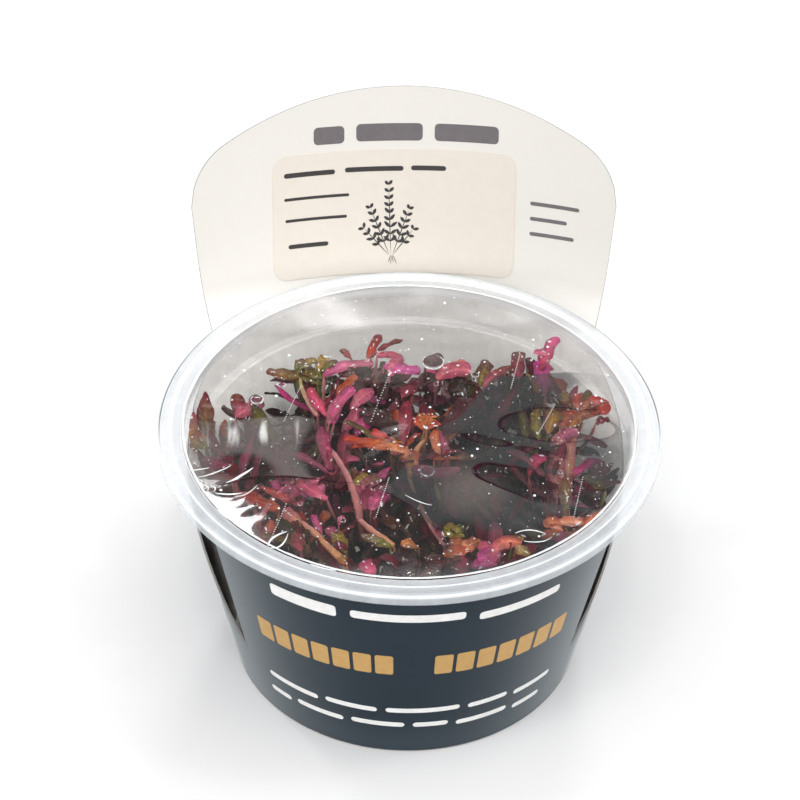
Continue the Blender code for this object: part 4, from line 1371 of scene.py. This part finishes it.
def grow_stem(growth, start, bend, end, first_radius, last_radius, colour, sides=8, end_colour=None):
    """A round stem with slight swellings, closed at both ends."""
    start, bend, end = (np.array(value, float) for value in (start, bend, end))
    length = np.linalg.norm(end - start)
    rows = max(5, int(length))
    share = np.linspace(0, 1, rows)[:, None]
    centre, along = arc(start, bend, end, share)
    aside = np.cross(along, np.array([0.31, 0.95, 0.05]))
    aside /= np.linalg.norm(aside, axis=1, keepdims=True)
    other = np.cross(along, aside)
    radius = first_radius + (last_radius - first_radius) * share
    radius = radius * (1 + 0.12 * np.cos(share * length / NODE_SPACING * 2 * np.pi) ** 4)
    radius = radius * (1 + 0.09 * np.sin(share * length * 1.9 + start[0]))
    radius[-1] *= 0.4
    radius[0] *= 0.6
    angle = np.linspace(0, 2 * np.pi, sides, endpoint=False)[None, :, None]
    spots = (centre[:, None, :] + (aside[:, None, :] * np.cos(angle) + other[:, None, :] * np.sin(angle))
             * radius[:, :, None]).reshape(-1, 3)
    held_inside(spots, 0.3)
    last = np.array(end_colour or colour)[None, :]
    tints = np.repeat(np.array(colour)[None, :] * (1 - share) + last * share, sides, axis=0)
    tints = shaded(tints, spots, *STEM_DEPTH)
    blades = np.stack([np.zeros(len(spots)), np.repeat(share[:, 0], sides), np.zeros(len(spots))], axis=1)
    growth.add(spots, tints, blades, tube_grid(rows, sides))


class Twig:
    """A curved stem's path with directions for its leaf pairs."""

    def __init__(self, base, bend, tip, turn):
        self.base, self.bend, self.tip, self.turn = base, bend, tip, turn
        self.length = (tip - base).length

    def place(self, share):
        first = self.base.lerp(self.bend, share)
        return first.lerp(self.bend.lerp(self.tip, share), share)

    def frame(self, share):
        along = (self.bend - self.base).lerp(self.tip - self.bend, share).normalized()
        turn = math.radians(self.turn)
        face = Vector((math.cos(turn), math.sin(turn), 0.2))
        face = (face - along * face.dot(along)).normalized()
        return along, face, along.cross(face)


class Shoot(Twig):
    """One of the separate shoots, with all that grows from it."""

    def __init__(self, number, entry):
        x, y, top, turn, self.leaf_share, self.colour = entry
        draw = random.Random(SEED + number)
        base = Vector((x * BASE_PULL + draw.uniform(-1.2, 1.2), y * BASE_PULL + draw.uniform(-1.2, 1.2),
                       GEL_TOP + CLEARANCE))
        tip = Vector((x, y, top))
        sway = Vector((draw.uniform(-2.0, 2.0), draw.uniform(-2.0, 2.0), 0))
        super().__init__(base, base.lerp(tip, 0.5) + sway, tip, turn)
        self.draw = draw
        self.growth = Growth()


# Leaf pairs down a main stem: distance below the top, start rise and tip rise in degrees,
# length and width as shares
MAIN_PAIRS = (
    (0.2, 58, 72, 0.45, 0.6), (0.9, 38, 58, 0.95, 1.0), (3.0, 34, 50, 0.85, 0.95),
    (5.6, 30, 44, 1.0, 1.05), (8.4, 28, 36, 1.0, 1.05), (11.2, 24, 32, 1.0, 1.1),
    (14.4, 22, 28, 1.0, 1.1), (17.6, 20, 24, 1.0, 1.1), (21.5, 16, 20, 1.0, 1.1),
    (26.0, 12, 16, 1.0, 1.1),
)
SIDE_PAIRS = ((0.2, 50, 66, 0.42, 0.6), (1.8, 36, 50, 0.62, 0.8), (4.2, 30, 40, 0.72, 0.85),
              (7.2, 24, 32, 0.72, 0.9))
LEAF_SHAPES = ("strap", "strap", "strap", "strap", "round", "spear")


def grow_pairs(shoot, twig, pairs, stem_radius, draw):
    """Leaves in pairs down a twig, each pair a quarter turn from the last."""
    for index, (drop, start_rise, tip_rise, length_share, width_share) in enumerate(pairs):
        share = 1 - drop / twig.length
        if share < 0.12:
            continue
        along, face, side = twig.frame(share)
        spin = math.radians(90 * index + draw.uniform(-18, 18))
        out = face * math.cos(spin) + side * math.sin(spin)
        for heading in (out, -out):
            length = LEAF_LENGTH * shoot.leaf_share * length_share * draw.uniform(0.8, 1.15)
            width = LEAF_WIDTH * (0.6 + 0.4 * shoot.leaf_share) * width_share * draw.uniform(0.52, 0.82)
            droop = (52 if drop < 1 else 38) * min(max((twig.tip.y - 13) / 8, 0.0), 1.0) if drop < 6 else 0
            start = math.radians(start_rise - 0.5 * droop + draw.uniform(-10, 10))
            rise = math.radians(tip_rise - droop + draw.uniform(-26, 18))
            length *= 1 - (0.009 if drop < 1 else 0.006) * droop
            root = twig.place(share) + heading * stem_radius * 0.6
            knee = root + (heading * math.cos(start) + along * math.sin(start)) * length * 0.5
            tip = root + (heading * math.cos(rise) + along * math.sin(rise)) * length
            palette = draw.choice(LEAF_RANGES[shoot.colour])
            if drop > 9 and draw.random() < 0.6:
                palette = draw.choice(("dark", "deep", "brown", "olive"))
            grow_leaf(shoot.growth, root, knee, tip, width, along, LEAF_COLOURS[palette],
                      draw.choice(LEAF_SHAPES), draw.uniform(0.1, 0.6), draw.uniform(0.06, 0.3), draw)


def dress_shoot(shoot):
    draw = shoot.draw
    stem_colour = STEM_COLOURS[shoot.colour]
    grow_stem(shoot.growth, shoot.base, shoot.bend, shoot.tip,
              STEM_BASE_RADIUS, STEM_TOP_RADIUS, stem_colour)
    grow_pairs(shoot, shoot, MAIN_PAIRS, STEM_TOP_RADIUS, draw)
    for number in range(3):
        share = draw.uniform(0.45, 0.82)
        along, face, side = shoot.frame(share)
        spin = math.radians(120 * number + draw.uniform(-40, 40))
        out = face * math.cos(spin) + side * math.sin(spin)
        start = shoot.place(share)
        length = draw.uniform(7.0, 13.0)
        tip = start + out * length * 0.55 + along * length * 0.8
        tip.z = min(tip.z, shoot.tip.z - 1.0)
        reach = math.hypot(tip.x, tip.y) / (inner_radius(tip.z) - 2.5)
        if reach > 1:
            tip.x, tip.y = tip.x / reach, tip.y / reach
        bend = start + out * length * 0.4 + along * length * 0.3
        grow_stem(shoot.growth, start, bend, tip, 0.5, 0.4, stem_colour, 6)
        grow_pairs(shoot, Twig(start, bend, tip, draw.uniform(0, 180)), SIDE_PAIRS, 0.4, draw)


# Leaves and stems seen close under the film, by picture position: root, tip, root and tip height,
# width, sideways bow, colour or two colours, and the shape where it is not a strap
SEEN_LEAVES = (
    (299, 377, 267, 370, 50.0, 51.0, 2.6, 1.0, "olive>brown"),
    (318, 384, 276, 372, 49.0, 50.0, 2.0, -1.0, "olive"),
    (297, 374, 322, 362, 50.5, 51.0, 3.0, 1.0, "olive", "round"),
    (306, 370, 316, 359, 51.0, 51.0, 2.0, 0.6, "olive>yellow", "round"),
    (296, 371, 305, 361, 50.5, 50.5, 1.9, 0.6, "olive>brown", "round"),
    (316, 369, 330, 359, 51.0, 51.5, 2.2, 0.6, "yellow", "round"),
    (318, 372, 325, 363, 51.2, 51.6, 1.6, 0.4, "yellow", "round"),
    (320, 372, 340, 366, 51.0, 51.0, 2.6, 0.6, "olive>brown"),
    (332, 377, 300, 367, 49.8, 50.2, 3.6, 0.8, "olive>brown", "round"),
    (312, 376, 338, 369, 49.8, 50.2, 3.0, 0.8, "brown>olive", "round"),
    (324, 376, 374, 364, 51.4, 51.8, 3.6, 1.2, "rose>pink"),
    (425, 366, 443, 360, 52.2, 52.4, 3.0, 0.3, "dark", "round"),
    (368, 358, 381, 335, 50.0, 51.0, 1.9, 0.2, "red>crimson"),
    (371, 357, 403, 340, 50.0, 51.0, 1.2, 0.6, "crimson>brown"),
    (352, 360, 341, 350, 50.0, 50.5, 1.8, 0.3, "crimson>brown", "round"),
    (377, 356, 404, 361, 50.0, 50.0, 2.6, 0.8, "pink"),
    (390, 376, 402, 358, 50.0, 50.5, 2.6, 0.5, "rose>pink"),
    (384, 366, 421, 371, 50.0, 50.5, 2.4, -0.8, "rose"),
    (352, 378, 336, 366, 50.5, 50.5, 2.4, 0.5, "crimson"),
    (437, 379, 471, 370, 50.0, 50.5, 3.4, 1.0, "pink"),
    (446, 372, 468, 364, 50.0, 50.5, 2.6, 0.6, "pink>peach", "round"),
    (480, 386, 489, 362, 49.0, 51.0, 3.0, 0.4, "olive>brown"),
    (483, 389, 512, 366, 50.0, 51.0, 2.1, 0.8, "pink>brown"),
    (519, 379, 520, 352, 49.0, 51.0, 3.0, 0.5, "crimson>brown"),
    (533, 380, 531, 358, 49.0, 51.0, 2.4, 0.4, "dark"),
    (545, 394, 541, 362, 50.0, 52.8, 3.8, 0.4, "pink>rose"),
    (541, 370, 557, 336, 52.6, 54.0, 3.0, 0.5, "crimson>rose"),
    (549, 357, 534, 352, 53.2, 53.6, 2.0, 0.2, "rose", "round"),
    (527, 374, 538, 394, 51.0, 51.0, 1.5, 0.6, "yellow>orange"),
    (565, 397, 557, 379, 49.0, 50.5, 3.6, 0.4, "orange>red", "round"),
    (583, 412, 599, 398, 50.5, 51.5, 2.4, 0.6, "orange>red", "round"),
    (590, 398, 604, 415, 51.5, 51.5, 3.4, 0.5, "red"),
    (584, 418, 606, 409, 50.5, 51.0, 2.8, -0.5, "orange>red"),
    (596, 424, 610, 421, 50.0, 50.5, 1.8, 0.4, "crimson", "spear"),
    (580, 412, 577, 394, 50.5, 51.5, 2.6, 0.4, "orange>red", "round"),
    (574, 404, 560, 394, 50.5, 51.5, 2.8, 0.4, "orange>yellow", "round"),
    (570, 430, 588, 412, 51.0, 52.0, 2.6, 0.6, "orange"),
    (561, 432, 574, 411, 51.0, 52.0, 2.4, 0.4, "brown>orange"),
    (539, 439, 537, 409, 51.0, 52.0, 2.2, 0.4, "olive>yellow"),
    (548, 434, 560, 410, 51.0, 52.0, 3.6, 0.4, "yellow>brown", "round"),
    (560, 440, 578, 430, 51.5, 51.5, 3.0, 0.4, "pink"),
    (208, 434, 205, 391, 52.0, 54.4, 3.4, 0.3, "olive>crimson", "spear"),
    (212, 442, 212, 420, 50.5, 51.5, 1.8, 0.3, "yellow>olive"),
    (191, 440, 192, 408, 53.0, 54.4, 3.4, 0.3, "orange>pink", "spear"),
    (205, 448, 189, 438, 52.5, 53.0, 3.2, 0.4, "yellow>red", "round"),
    (206, 449, 196, 431, 50.5, 51.5, 2.6, 0.4, "orange", "round"),
    (207, 449, 213, 434, 50.5, 51.5, 2.2, 0.4, "yellow"),
    (244, 418, 237, 394, 49.0, 51.0, 3.0, 0.5, "crimson>brown"),
    (252, 418, 261, 398, 49.0, 51.0, 3.2, 0.4, "rose>dark", "round"),
    (236, 416, 257, 409, 50.0, 50.5, 3.0, 0.3, "rose>crimson"),
    (327, 416, 310, 388, 51.0, 52.5, 2.3, 0.6, "rose>pink"),
    (329, 424, 354, 388, 51.0, 52.5, 2.6, 0.8, "pink>rose"),
    (334, 424, 341, 398, 51.0, 52.0, 2.2, 0.5, "rose"),
    (337, 405, 357, 376, 51.0, 52.5, 2.3, 0.5, "orange"),
    (352, 410, 374, 391, 51.0, 52.5, 2.8, 0.6, "pink"),
    (343, 433, 366, 413, 51.5, 52.5, 3.4, 0.6, "pink", "round"),
    (356, 436, 374, 420, 51.5, 52.5, 2.8, 0.5, "rose>pink"),
    (406, 432, 364, 408, 52.4, 53.0, 5.4, 1.0, "deep", "round"),
    (438, 436, 474, 399, 51.8, 52.6, 6.0, -0.8, "dark", "round"),
    (424, 431, 413, 417, 53.5, 54.2, 1.7, 0.3, "orange>red", "round"),
    (425, 430, 420, 413, 53.5, 54.4, 1.7, 0.2, "orange", "round"),
    (425, 430, 429, 413, 53.5, 54.4, 1.7, 0.2, "orange", "round"),
    (426, 430, 437, 416, 53.5, 54.2, 1.7, 0.3, "orange>peach", "round"),
    (427, 431, 441, 424, 53.5, 54.0, 1.6, 0.3, "orange>red", "round"),
    (408, 449, 344, 438, 53.2, 53.2, 2.4, 0.8, "orange>red"),
    (402, 443, 352, 448, 53.0, 53.0, 1.8, -0.8, "orange>red"),
    (390, 441, 372, 432, 53.0, 53.2, 1.8, 0.4, "red"),
    (440, 454, 437, 430, 53.0, 53.4, 2.6, 0.5, "peach>orange"),
    (434, 459, 485, 455, 53.2, 53.6, 2.5, -0.8, "orange>brown", "round"),
    (414, 460, 389, 443, 53.2, 53.6, 3.2, 0.8, "peach"),
    (411, 476, 417, 452, 53.0, 53.5, 2.4, 0.6, "peach>orange"),
    (459, 468, 413, 467, 53.8, 53.8, 3.2, 2.8, "rose>pink"),
    (557, 498, 560, 431, 50.5, 51.5, 3.2, 0.6, "faded"),
    (569, 505, 574, 432, 50.0, 51.0, 2.3, 0.8, "faded"),
    (529, 477, 546, 457, 51.0, 52.0, 3.0, 0.6, "crimson>rose", "round"),
    (601, 478, 613, 464, 51.0, 52.0, 1.8, 0.3, "crimson", "spear"),
    (601, 478, 604, 461, 51.0, 52.0, 1.8, 0.3, "crimson", "spear"),
    (601, 478, 590, 468, 51.0, 52.0, 1.8, 0.3, "crimson", "spear"),
    (606, 489, 584, 476, 50.5, 51.5, 3.0, 0.5, "olive"),
    (592, 522, 545, 521, 53.2, 53.6, 3.2, 1.0, "peach"),
    (603, 514, 584, 523, 53.6, 53.8, 2.2, 0.6, "orange>peach", "round"),
    (563, 531, 547, 518, 53.2, 53.8, 3.0, 0.5, "peach", "round"),
    (606, 513, 583, 521, 53.2, 53.6, 1.8, 0.5, "orange"),
    (562, 533, 541, 537, 53.2, 53.4, 2.4, 0.5, "orange>red", "round"),
    (580, 531, 554, 539, 53.0, 53.2, 2.8, 0.6, "rose", "round"),
    (589, 534, 572, 535, 53.2, 53.4, 2.2, 0.4, "red>rose"),
    (575, 534, 566, 547, 53.0, 53.2, 2.2, 0.4, "orange"),
    (498, 561, 470, 567, 53.2, 53.6, 4.8, 1.0, "rose", "round"),
    (500, 548, 478, 560, 53.4, 53.8, 4.0, 0.6, "pink>rose", "round"),
    (492, 545, 478, 548, 53.4, 53.8, 2.8, 0.6, "rose>pink", "round"),
    (493, 556, 522, 543, 53.8, 54.2, 2.8, 2.2, "pink>peach"),
    (517, 542, 530, 555, 53.8, 53.6, 2.6, -0.8, "peach>yellow", "round"),
    (512, 543, 524, 539, 53.6, 54.0, 1.8, 0.4, "yellow"),
    (471, 548, 444, 556, 53.0, 53.4, 3.0, 0.6, "red>orange", "round"),
    (468, 545, 449, 543, 53.0, 53.4, 2.6, 0.4, "orange"),
    (480, 540, 462, 549, 53.0, 53.4, 2.6, 0.4, "orange>peach"),
    (464, 536, 444, 527, 53.0, 53.4, 3.2, 0.6, "yellow", "round"),
    (463, 527, 447, 536, 52.6, 53.0, 2.4, 0.4, "olive>yellow"),
    (445, 541, 434, 523, 52.6, 53.2, 1.5, 0.4, "pink"),
    (468, 577, 454, 556, 52.6, 53.2, 3.4, 0.5, "crimson>pink"),
    (419, 548, 402, 541, 52.6, 53.2, 2.4, 0.4, "brown>peach", "round"),
    (231, 467, 206, 457, 52.4, 53.0, 4.2, 0.8, "crimson>pink", "round"),
    (236, 479, 207, 472, 51.5, 52.0, 4.0, 0.8, "crimson"),
    (279, 509, 240, 492, 52.4, 53.0, 3.0, 0.8, "orange>crimson"),
    (300, 505, 262, 487, 52.4, 53.0, 2.4, 0.6, "crimson>red"),
    (327, 499, 299, 480, 53.2, 53.8, 3.0, 0.8, "rose>pink"),
    (325, 486, 301, 492, 53.0, 53.4, 2.8, 0.8, "rose"),
    (320, 478, 300, 486, 53.0, 53.4, 2.4, 0.8, "pink>rose", "round"),
    (298, 489, 270, 484, 52.6, 53.0, 2.4, 0.6, "crimson>rose"),
    (290, 500, 308, 486, 52.8, 53.2, 2.4, 0.5, "crimson>pink"),
    (359, 494, 381, 478, 53.2, 53.6, 3.0, 0.6, "pink>olive", "round"),
    (354, 488, 371, 478, 53.2, 53.6, 2.8, 0.6, "olive>yellow", "round"),
    (361, 509, 392, 487, 53.2, 53.6, 4.2, 0.8, "crimson"),
    (371, 510, 388, 494, 53.6, 53.8, 3.0, 0.5, "rose"),
    (376, 502, 391, 497, 53.6, 53.8, 2.2, 0.4, "rose>pink", "round"),
    (367, 499, 354, 485, 53.0, 53.4, 3.0, 0.5, "pink", "round"),
    (300, 522, 284, 509, 53.2, 53.6, 2.6, 0.5, "peach>pink"),
    (322, 533, 313, 515, 53.0, 53.4, 1.5, 0.3, "rose"),
    (339, 526, 345, 518, 53.2, 53.6, 1.5, 0.3, "rose", "round"),
    (337, 542, 331, 527, 53.0, 53.4, 2.6, 0.4, "crimson>pink", "round"),
    (346, 553, 336, 532, 52.8, 53.4, 2.8, 0.5, "olive>yellow"),
    (347, 566, 340, 556, 52.8, 53.2, 2.0, 0.3, "orange>yellow", "round"),
    (375, 574, 363, 561, 52.8, 53.2, 2.6, 0.4, "rose"),
    (301, 551, 297, 533, 52.6, 53.2, 2.6, 0.4, "crimson"),
    (390, 546, 362, 534, 52.8, 53.2, 2.8, 0.6, "olive>brown"),
    (271, 520, 262, 545, 51.5, 52.0, 2.2, 0.5, "orange>crimson"),
    (372, 386, 412, 372, 47.0, 48.0, 4.4, 0.8, "dark>crimson"),
    (408, 388, 382, 374, 47.5, 48.0, 4.0, 0.6, "deep", "round"),
    (420, 392, 442, 376, 47.0, 48.0, 4.2, 0.8, "dark", "round"),
    (402, 398, 424, 380, 48.0, 49.0, 3.6, 0.6, "crimson>dark"),
    (350, 392, 326, 378, 47.0, 48.0, 3.8, 0.8, "dark"),
    (352, 384, 372, 372, 47.5, 48.0, 3.8, 0.5, "deep", "round"),
    (300, 396, 322, 382, 47.0, 48.0, 3.4, 0.8, "dark>brown"),
    (444, 396, 466, 378, 47.0, 48.5, 4.0, 0.6, "dark"),
    (468, 398, 452, 380, 47.5, 48.5, 3.4, 0.6, "deep", "round"),
    (500, 402, 488, 384, 47.0, 48.5, 3.8, 0.6, "dark"),
    (516, 398, 528, 380, 47.0, 48.0, 3.4, 0.6, "deep"),
    (308, 380, 284, 378, 47.5, 48.5, 2.6, -0.8, "olive>dark"),
    (384, 560, 412, 570, 51.2, 51.6, 5.0, 0.8, "deep", "round"),
    (420, 566, 396, 556, 51.4, 51.8, 4.6, -0.8, "dark", "round"),
    (425, 558, 441, 571, 51.4, 51.8, 4.2, 0.8, "dark", "round"),
)
# Lying stems: root, tip, heights, radius, bow, colour
SEEN_STEMS = (
    (360, 521, 330, 449, 52.8, 53.4, 0.85, -1.3, "crimson", "pink"),
    (394, 546, 356, 516, 52.2, 52.8, 0.75, 0.8, "orange", "pink"),
    (344, 561, 318, 536, 52.6, 53.2, 0.8, 0.5, "orange", "orange"),
    (323, 540, 301, 521, 52.8, 53.2, 0.75, 0.4, "orange", "pink"),
    (411, 478, 425, 440, 52.4, 53.0, 0.75, 1.2, "brown", "orange"),
    (446, 546, 408, 472, 52.0, 52.6, 0.6, 1.4, "pink", "brown"),
    (440, 500, 436, 470, 51.5, 52.2, 0.5, 0.6, "olive", "brown"),
    (260, 520, 300, 478, 52.0, 52.6, 0.7, 1.0, "crimson", "pink"),
    (318, 416, 300, 378, 50.0, 51.0, 0.6, 1.0, "pink", "olive"),
)


def nearest_shoot(shoots, spot):
    return min(shoots, key=lambda shoot: (shoot.tip.x - spot.x) ** 2 + (shoot.tip.y - spot.y) ** 2)


def bowed(root, tip, bow):
    """A middle point for a curve that bends aside by bow and slightly up."""
    along = tip - root
    aside = Vector((-along.y, along.x, 0)).normalized()
    return root.lerp(tip, 0.5) + aside * bow * 1.6 + Vector((0, 0, 0.8))


def side_stem(shoot, spot, colour, radius):
    """A thin branch that carries what lies close under the film."""
    share = min(max(1 - (shoot.tip.z - spot.z + 14.0) / shoot.length, 0.2), 0.9)
    start = shoot.place(share)
    middle = start.lerp(spot, 0.5)
    bend = Vector((middle.x, middle.y, min(start.z, spot.z) + 2.0))
    bend = bend.lerp(Vector((spot.x, spot.y, bend.z)), 0.5)
    grow_stem(shoot.growth, start, bend, spot, radius, radius * 0.8, STEM_COLOURS[colour], 6)


def dress_seen(shoots):
    draw = random.Random(SEED + 99)
    for x0, y0, x1, y1, z0, z1, width, bow, colour, *shape in SEEN_LEAVES:
        root = picture_point(x0, y0, z0)
        tip = picture_point(x1, y1, z1)
        shoot = nearest_shoot(shoots, root)
        first, last = colour.split(">")[0], colour.split(">")[-1]
        side_stem(shoot, root, STEM_OF_LEAF.get(first, first), 0.4)
        up = Vector((draw.uniform(-0.25, 0.25), draw.uniform(-0.45, 0.05), 1.0))
        colours = (LEAF_COLOURS[first][0], LEAF_COLOURS[last][1])
        grow_leaf(shoot.growth, root, bowed(root, tip, bow), tip, width, up, colours,
                  shape[0] if shape else "strap", draw.uniform(-0.2, 0.5), draw.uniform(0.1, 0.28),
                  draw, SEEN_ROWS, SEEN_SIDES)
    for x0, y0, x1, y1, z0, z1, radius, bow, colour, end_colour in SEEN_STEMS:
        root = picture_point(x0, y0, z0)
        tip = picture_point(x1, y1, z1)
        shoot = nearest_shoot(shoots, root)
        side_stem(shoot, root, colour, radius * 0.7)
        grow_stem(shoot.growth, root, bowed(root, tip, bow), tip, radius, radius * 0.55,
                  STEM_COLOURS[colour], 10, STEM_COLOURS[end_colour])


def leaf_look():
    """A thin glossy leaf with a midrib, side veins, patches and flecks over its own colour."""
    look = Look("living leaf")
    tint = look.node("Attribute", attribute_name="tint").outputs["Color"]
    blade = look.node("Attribute", attribute_name="blade").outputs["Vector"]
    across, along, _ = look.apart(blade)
    aside = look.size(across)
    midrib = look.spread(aside, 0.04, 0.16, 1.0, 0.0)
    wave = look.maths("SINE", look.times(look.minus(along, look.times(aside, 0.16)), 62.0))
    veins = look.times(look.spread(wave, 0.75, 1.0), look.spread(aside, 0.05, 0.2))
    mottle = look.grain(420.0, 4.0, 0.65)
    patch = look.grain(150.0, 3.0)
    lighter = look.dyed(tint, LEAF_LIGHTER)
    colour = look.layered(
        tint, (look.spread(mottle, 0.38, 0.62, 0.0, 0.8), look.dyed(tint, LEAF_MOTTLE)),
        (look.spread(patch, 0.45, 0.72, 0.0, 0.7), look.dyed(tint, LEAF_PATCH)),
        (look.spread(look.grain(800.0, 2.0), 0.60, 0.72, 0.0, 0.7), lighter),
        (look.times(midrib, 0.35), lighter), (look.times(veins, 0.25), lighter))
    relief = look.plus(look.minus(look.times(mottle, 0.8), look.times(veins, 0.4)), look.times(patch, 1.6))
    normal = look.bump(relief, 0.00022)
    skin = look.shader(Base_Color=colour, Roughness=look.spread(mottle, 0.2, 0.8, 0.20, 0.36), IOR=1.30,
                       Coat_Weight=0.45, Coat_Roughness=0.06, Normal=normal)
    glow = look.node("BsdfTranslucent", {"Color": colour, "Normal": normal})
    return look.end(look.joined(0.20, skin, glow))


def store_growth(number, shoot, look):
    growth = shoot.growth
    points = np.concatenate(growth.points)
    name = f"rotala_{number:02d}"
    made = store(name, points.tolist(), growth.faces, [look], smooth_angle=65)
    mesh = made.data
    tints = np.concatenate(growth.tints)
    tint = mesh.attributes.new("tint", "FLOAT_COLOR", "POINT")
    tint.data.foreach_set("color", np.column_stack([tints, np.ones(len(tints))]).astype(np.float32).ravel())
    blade = mesh.attributes.new("blade", "FLOAT_VECTOR", "POINT")
    blade.data.foreach_set("vector", np.concatenate(growth.blades).astype(np.float32).ravel())
    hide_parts(f"rotala_shoot_{number:02d}")


def wet_beads(shoots):
    """Small beads of water that sit on the leaves, painted white as highlights."""
    draw = random.Random(SEED + 7)
    points, faces = [], []
    sides, rows = 8, 5
    for shoot in shoots:
        for spot, ahead in shoot.growth.beads:
            centre = Vector(spot)
            along = Vector(ahead).normalized() if max(abs(ahead)) > 1e-6 else Vector((1, 0, 0))
            aside = along.cross(Vector((0, 0, 1))).normalized()
            upward = aside.cross(along)
            wide = draw.choice((0.09, 0.11, 0.14, 0.18, 0.22))
            long = wide * draw.uniform(1.0, 3.2)
            turn = draw.uniform(-0.7, 0.7)
            along, aside = (along * math.cos(turn) + aside * math.sin(turn),
                            aside * math.cos(turn) - along * math.sin(turn))
            start = len(points)
            for row in range(1, rows):
                lean = math.pi * row / rows
                for side in range(sides):
                    angle = 2 * math.pi * side / sides
                    place = (centre + upward * (0.08 + wide * 0.5 * math.cos(lean))
                             + along * long * math.sin(lean) * math.cos(angle)
                             + aside * wide * math.sin(lean) * math.sin(angle))
                    place.z = min(place.z, film_height(place.x, place.y) - 0.16)
                    points.append(tuple(place))
            faces += tube_from(start, rows - 1, sides)
    store("leaf_beads", points, faces, [drop_look("beads painted highlight", BEAD_PAINTED_HIGHLIGHT, 0.08, 0.9)])


def plants():
    shoots = [Shoot(number, entry) for number, entry in enumerate(SHOOTS, start=1)]
    for shoot in shoots:
        dress_shoot(shoot)
    dress_seen(shoots)
    look = leaf_look()
    for number, shoot in enumerate(shoots, start=1):
        store_growth(number, shoot, look)
    wet_beads(shoots)


# Floor, light and air

def floor():
    mesh = bpy.data.meshes.new("floor")
    corners = [(across * FLOOR_HALF, along * FLOOR_HALF, 0)
               for across, along in ((-1, -1), (1, -1), (1, 1), (-1, 1))]
    mesh.from_pydata(corners, [], [(0, 1, 2, 3)])
    look = Look("pale floor")
    colour = look.mixed(look.grain(3.0, 3.0), FLOOR_GREY, FLOOR_PALE)
    mesh.materials.append(look.end(look.shader(Base_Color=colour, Roughness=0.55, IOR=1.3)))
    link("floor", mesh)


def place_light(data, place, aim):
    """Put a light at a place in metres and turn it to what it aims at."""
    made = link(data.name, data)
    made.location = place
    made.rotation_euler = (Vector(place) - Vector(aim)).to_track_quat("Z", "Y").to_euler()
    return made


def area_light(name, place, size, power):
    data = bpy.data.lights.new(name, "AREA")
    data.shape = "RECTANGLE"
    data.size, data.size_y = size
    data.energy = power
    place_light(data, place, LIGHT_AIM)


def beam_light():
    data = bpy.data.lights.new("beam", "SPOT")
    data.energy = BEAM_POWER
    data.spot_size = BEAM_ANGLE
    data.spot_blend = 1.0
    data.shadow_soft_size = BEAM_SIZE
    place_light(data, BEAM_PLACE, BEAM_AIM).scale = (BEAM_WIDTH, 1.0, 1.0)


def sky():
    """A white room with one dim place, which the level film mirrors to the camera."""
    world = bpy.data.worlds.new("white room")
    bpy.context.scene.world = world
    world.use_nodes = True
    tree = world.node_tree
    back = tree.nodes["Background"]
    place = tree.nodes.new("ShaderNodeTexCoord")
    nearness = tree.nodes.new("ShaderNodeVectorMath")
    nearness.operation = "DOT_PRODUCT"
    nearness.inputs[1].default_value = DIM_PLACE
    fade = tree.nodes.new("ShaderNodeMapRange")
    fade.interpolation_type = "SMOOTHSTEP"
    fade.inputs["From Min"].default_value = math.cos(DIM_OUTER)
    fade.inputs["From Max"].default_value = math.cos(DIM_INNER)
    fade.inputs["To Min"].default_value = ROOM_LIGHT
    fade.inputs["To Max"].default_value = DIM_LIGHT
    tree.links.new(place.outputs["Generated"], nearness.inputs[0])
    tree.links.new(nearness.outputs["Value"], fade.inputs["Value"])
    tree.links.new(fade.outputs["Result"], back.inputs["Strength"])
    back.inputs["Color"].default_value = SKY_COLOUR


def lights():
    for entry in AREA_LIGHTS:
        area_light(*entry)
    beam_light()
    sky()
    settings = bpy.context.scene.view_settings
    settings.view_transform = "Standard"
    settings.look = "None"
    bpy.context.scene.cycles.transparent_max_bounces = 24


make_camera()
cup_piece()
film_piece()
seal_bead()
film_creases()
film_drops()
film_holes()
gel_piece()
card_piece()
label_piece()
prints()
plants()
floor()
lights()
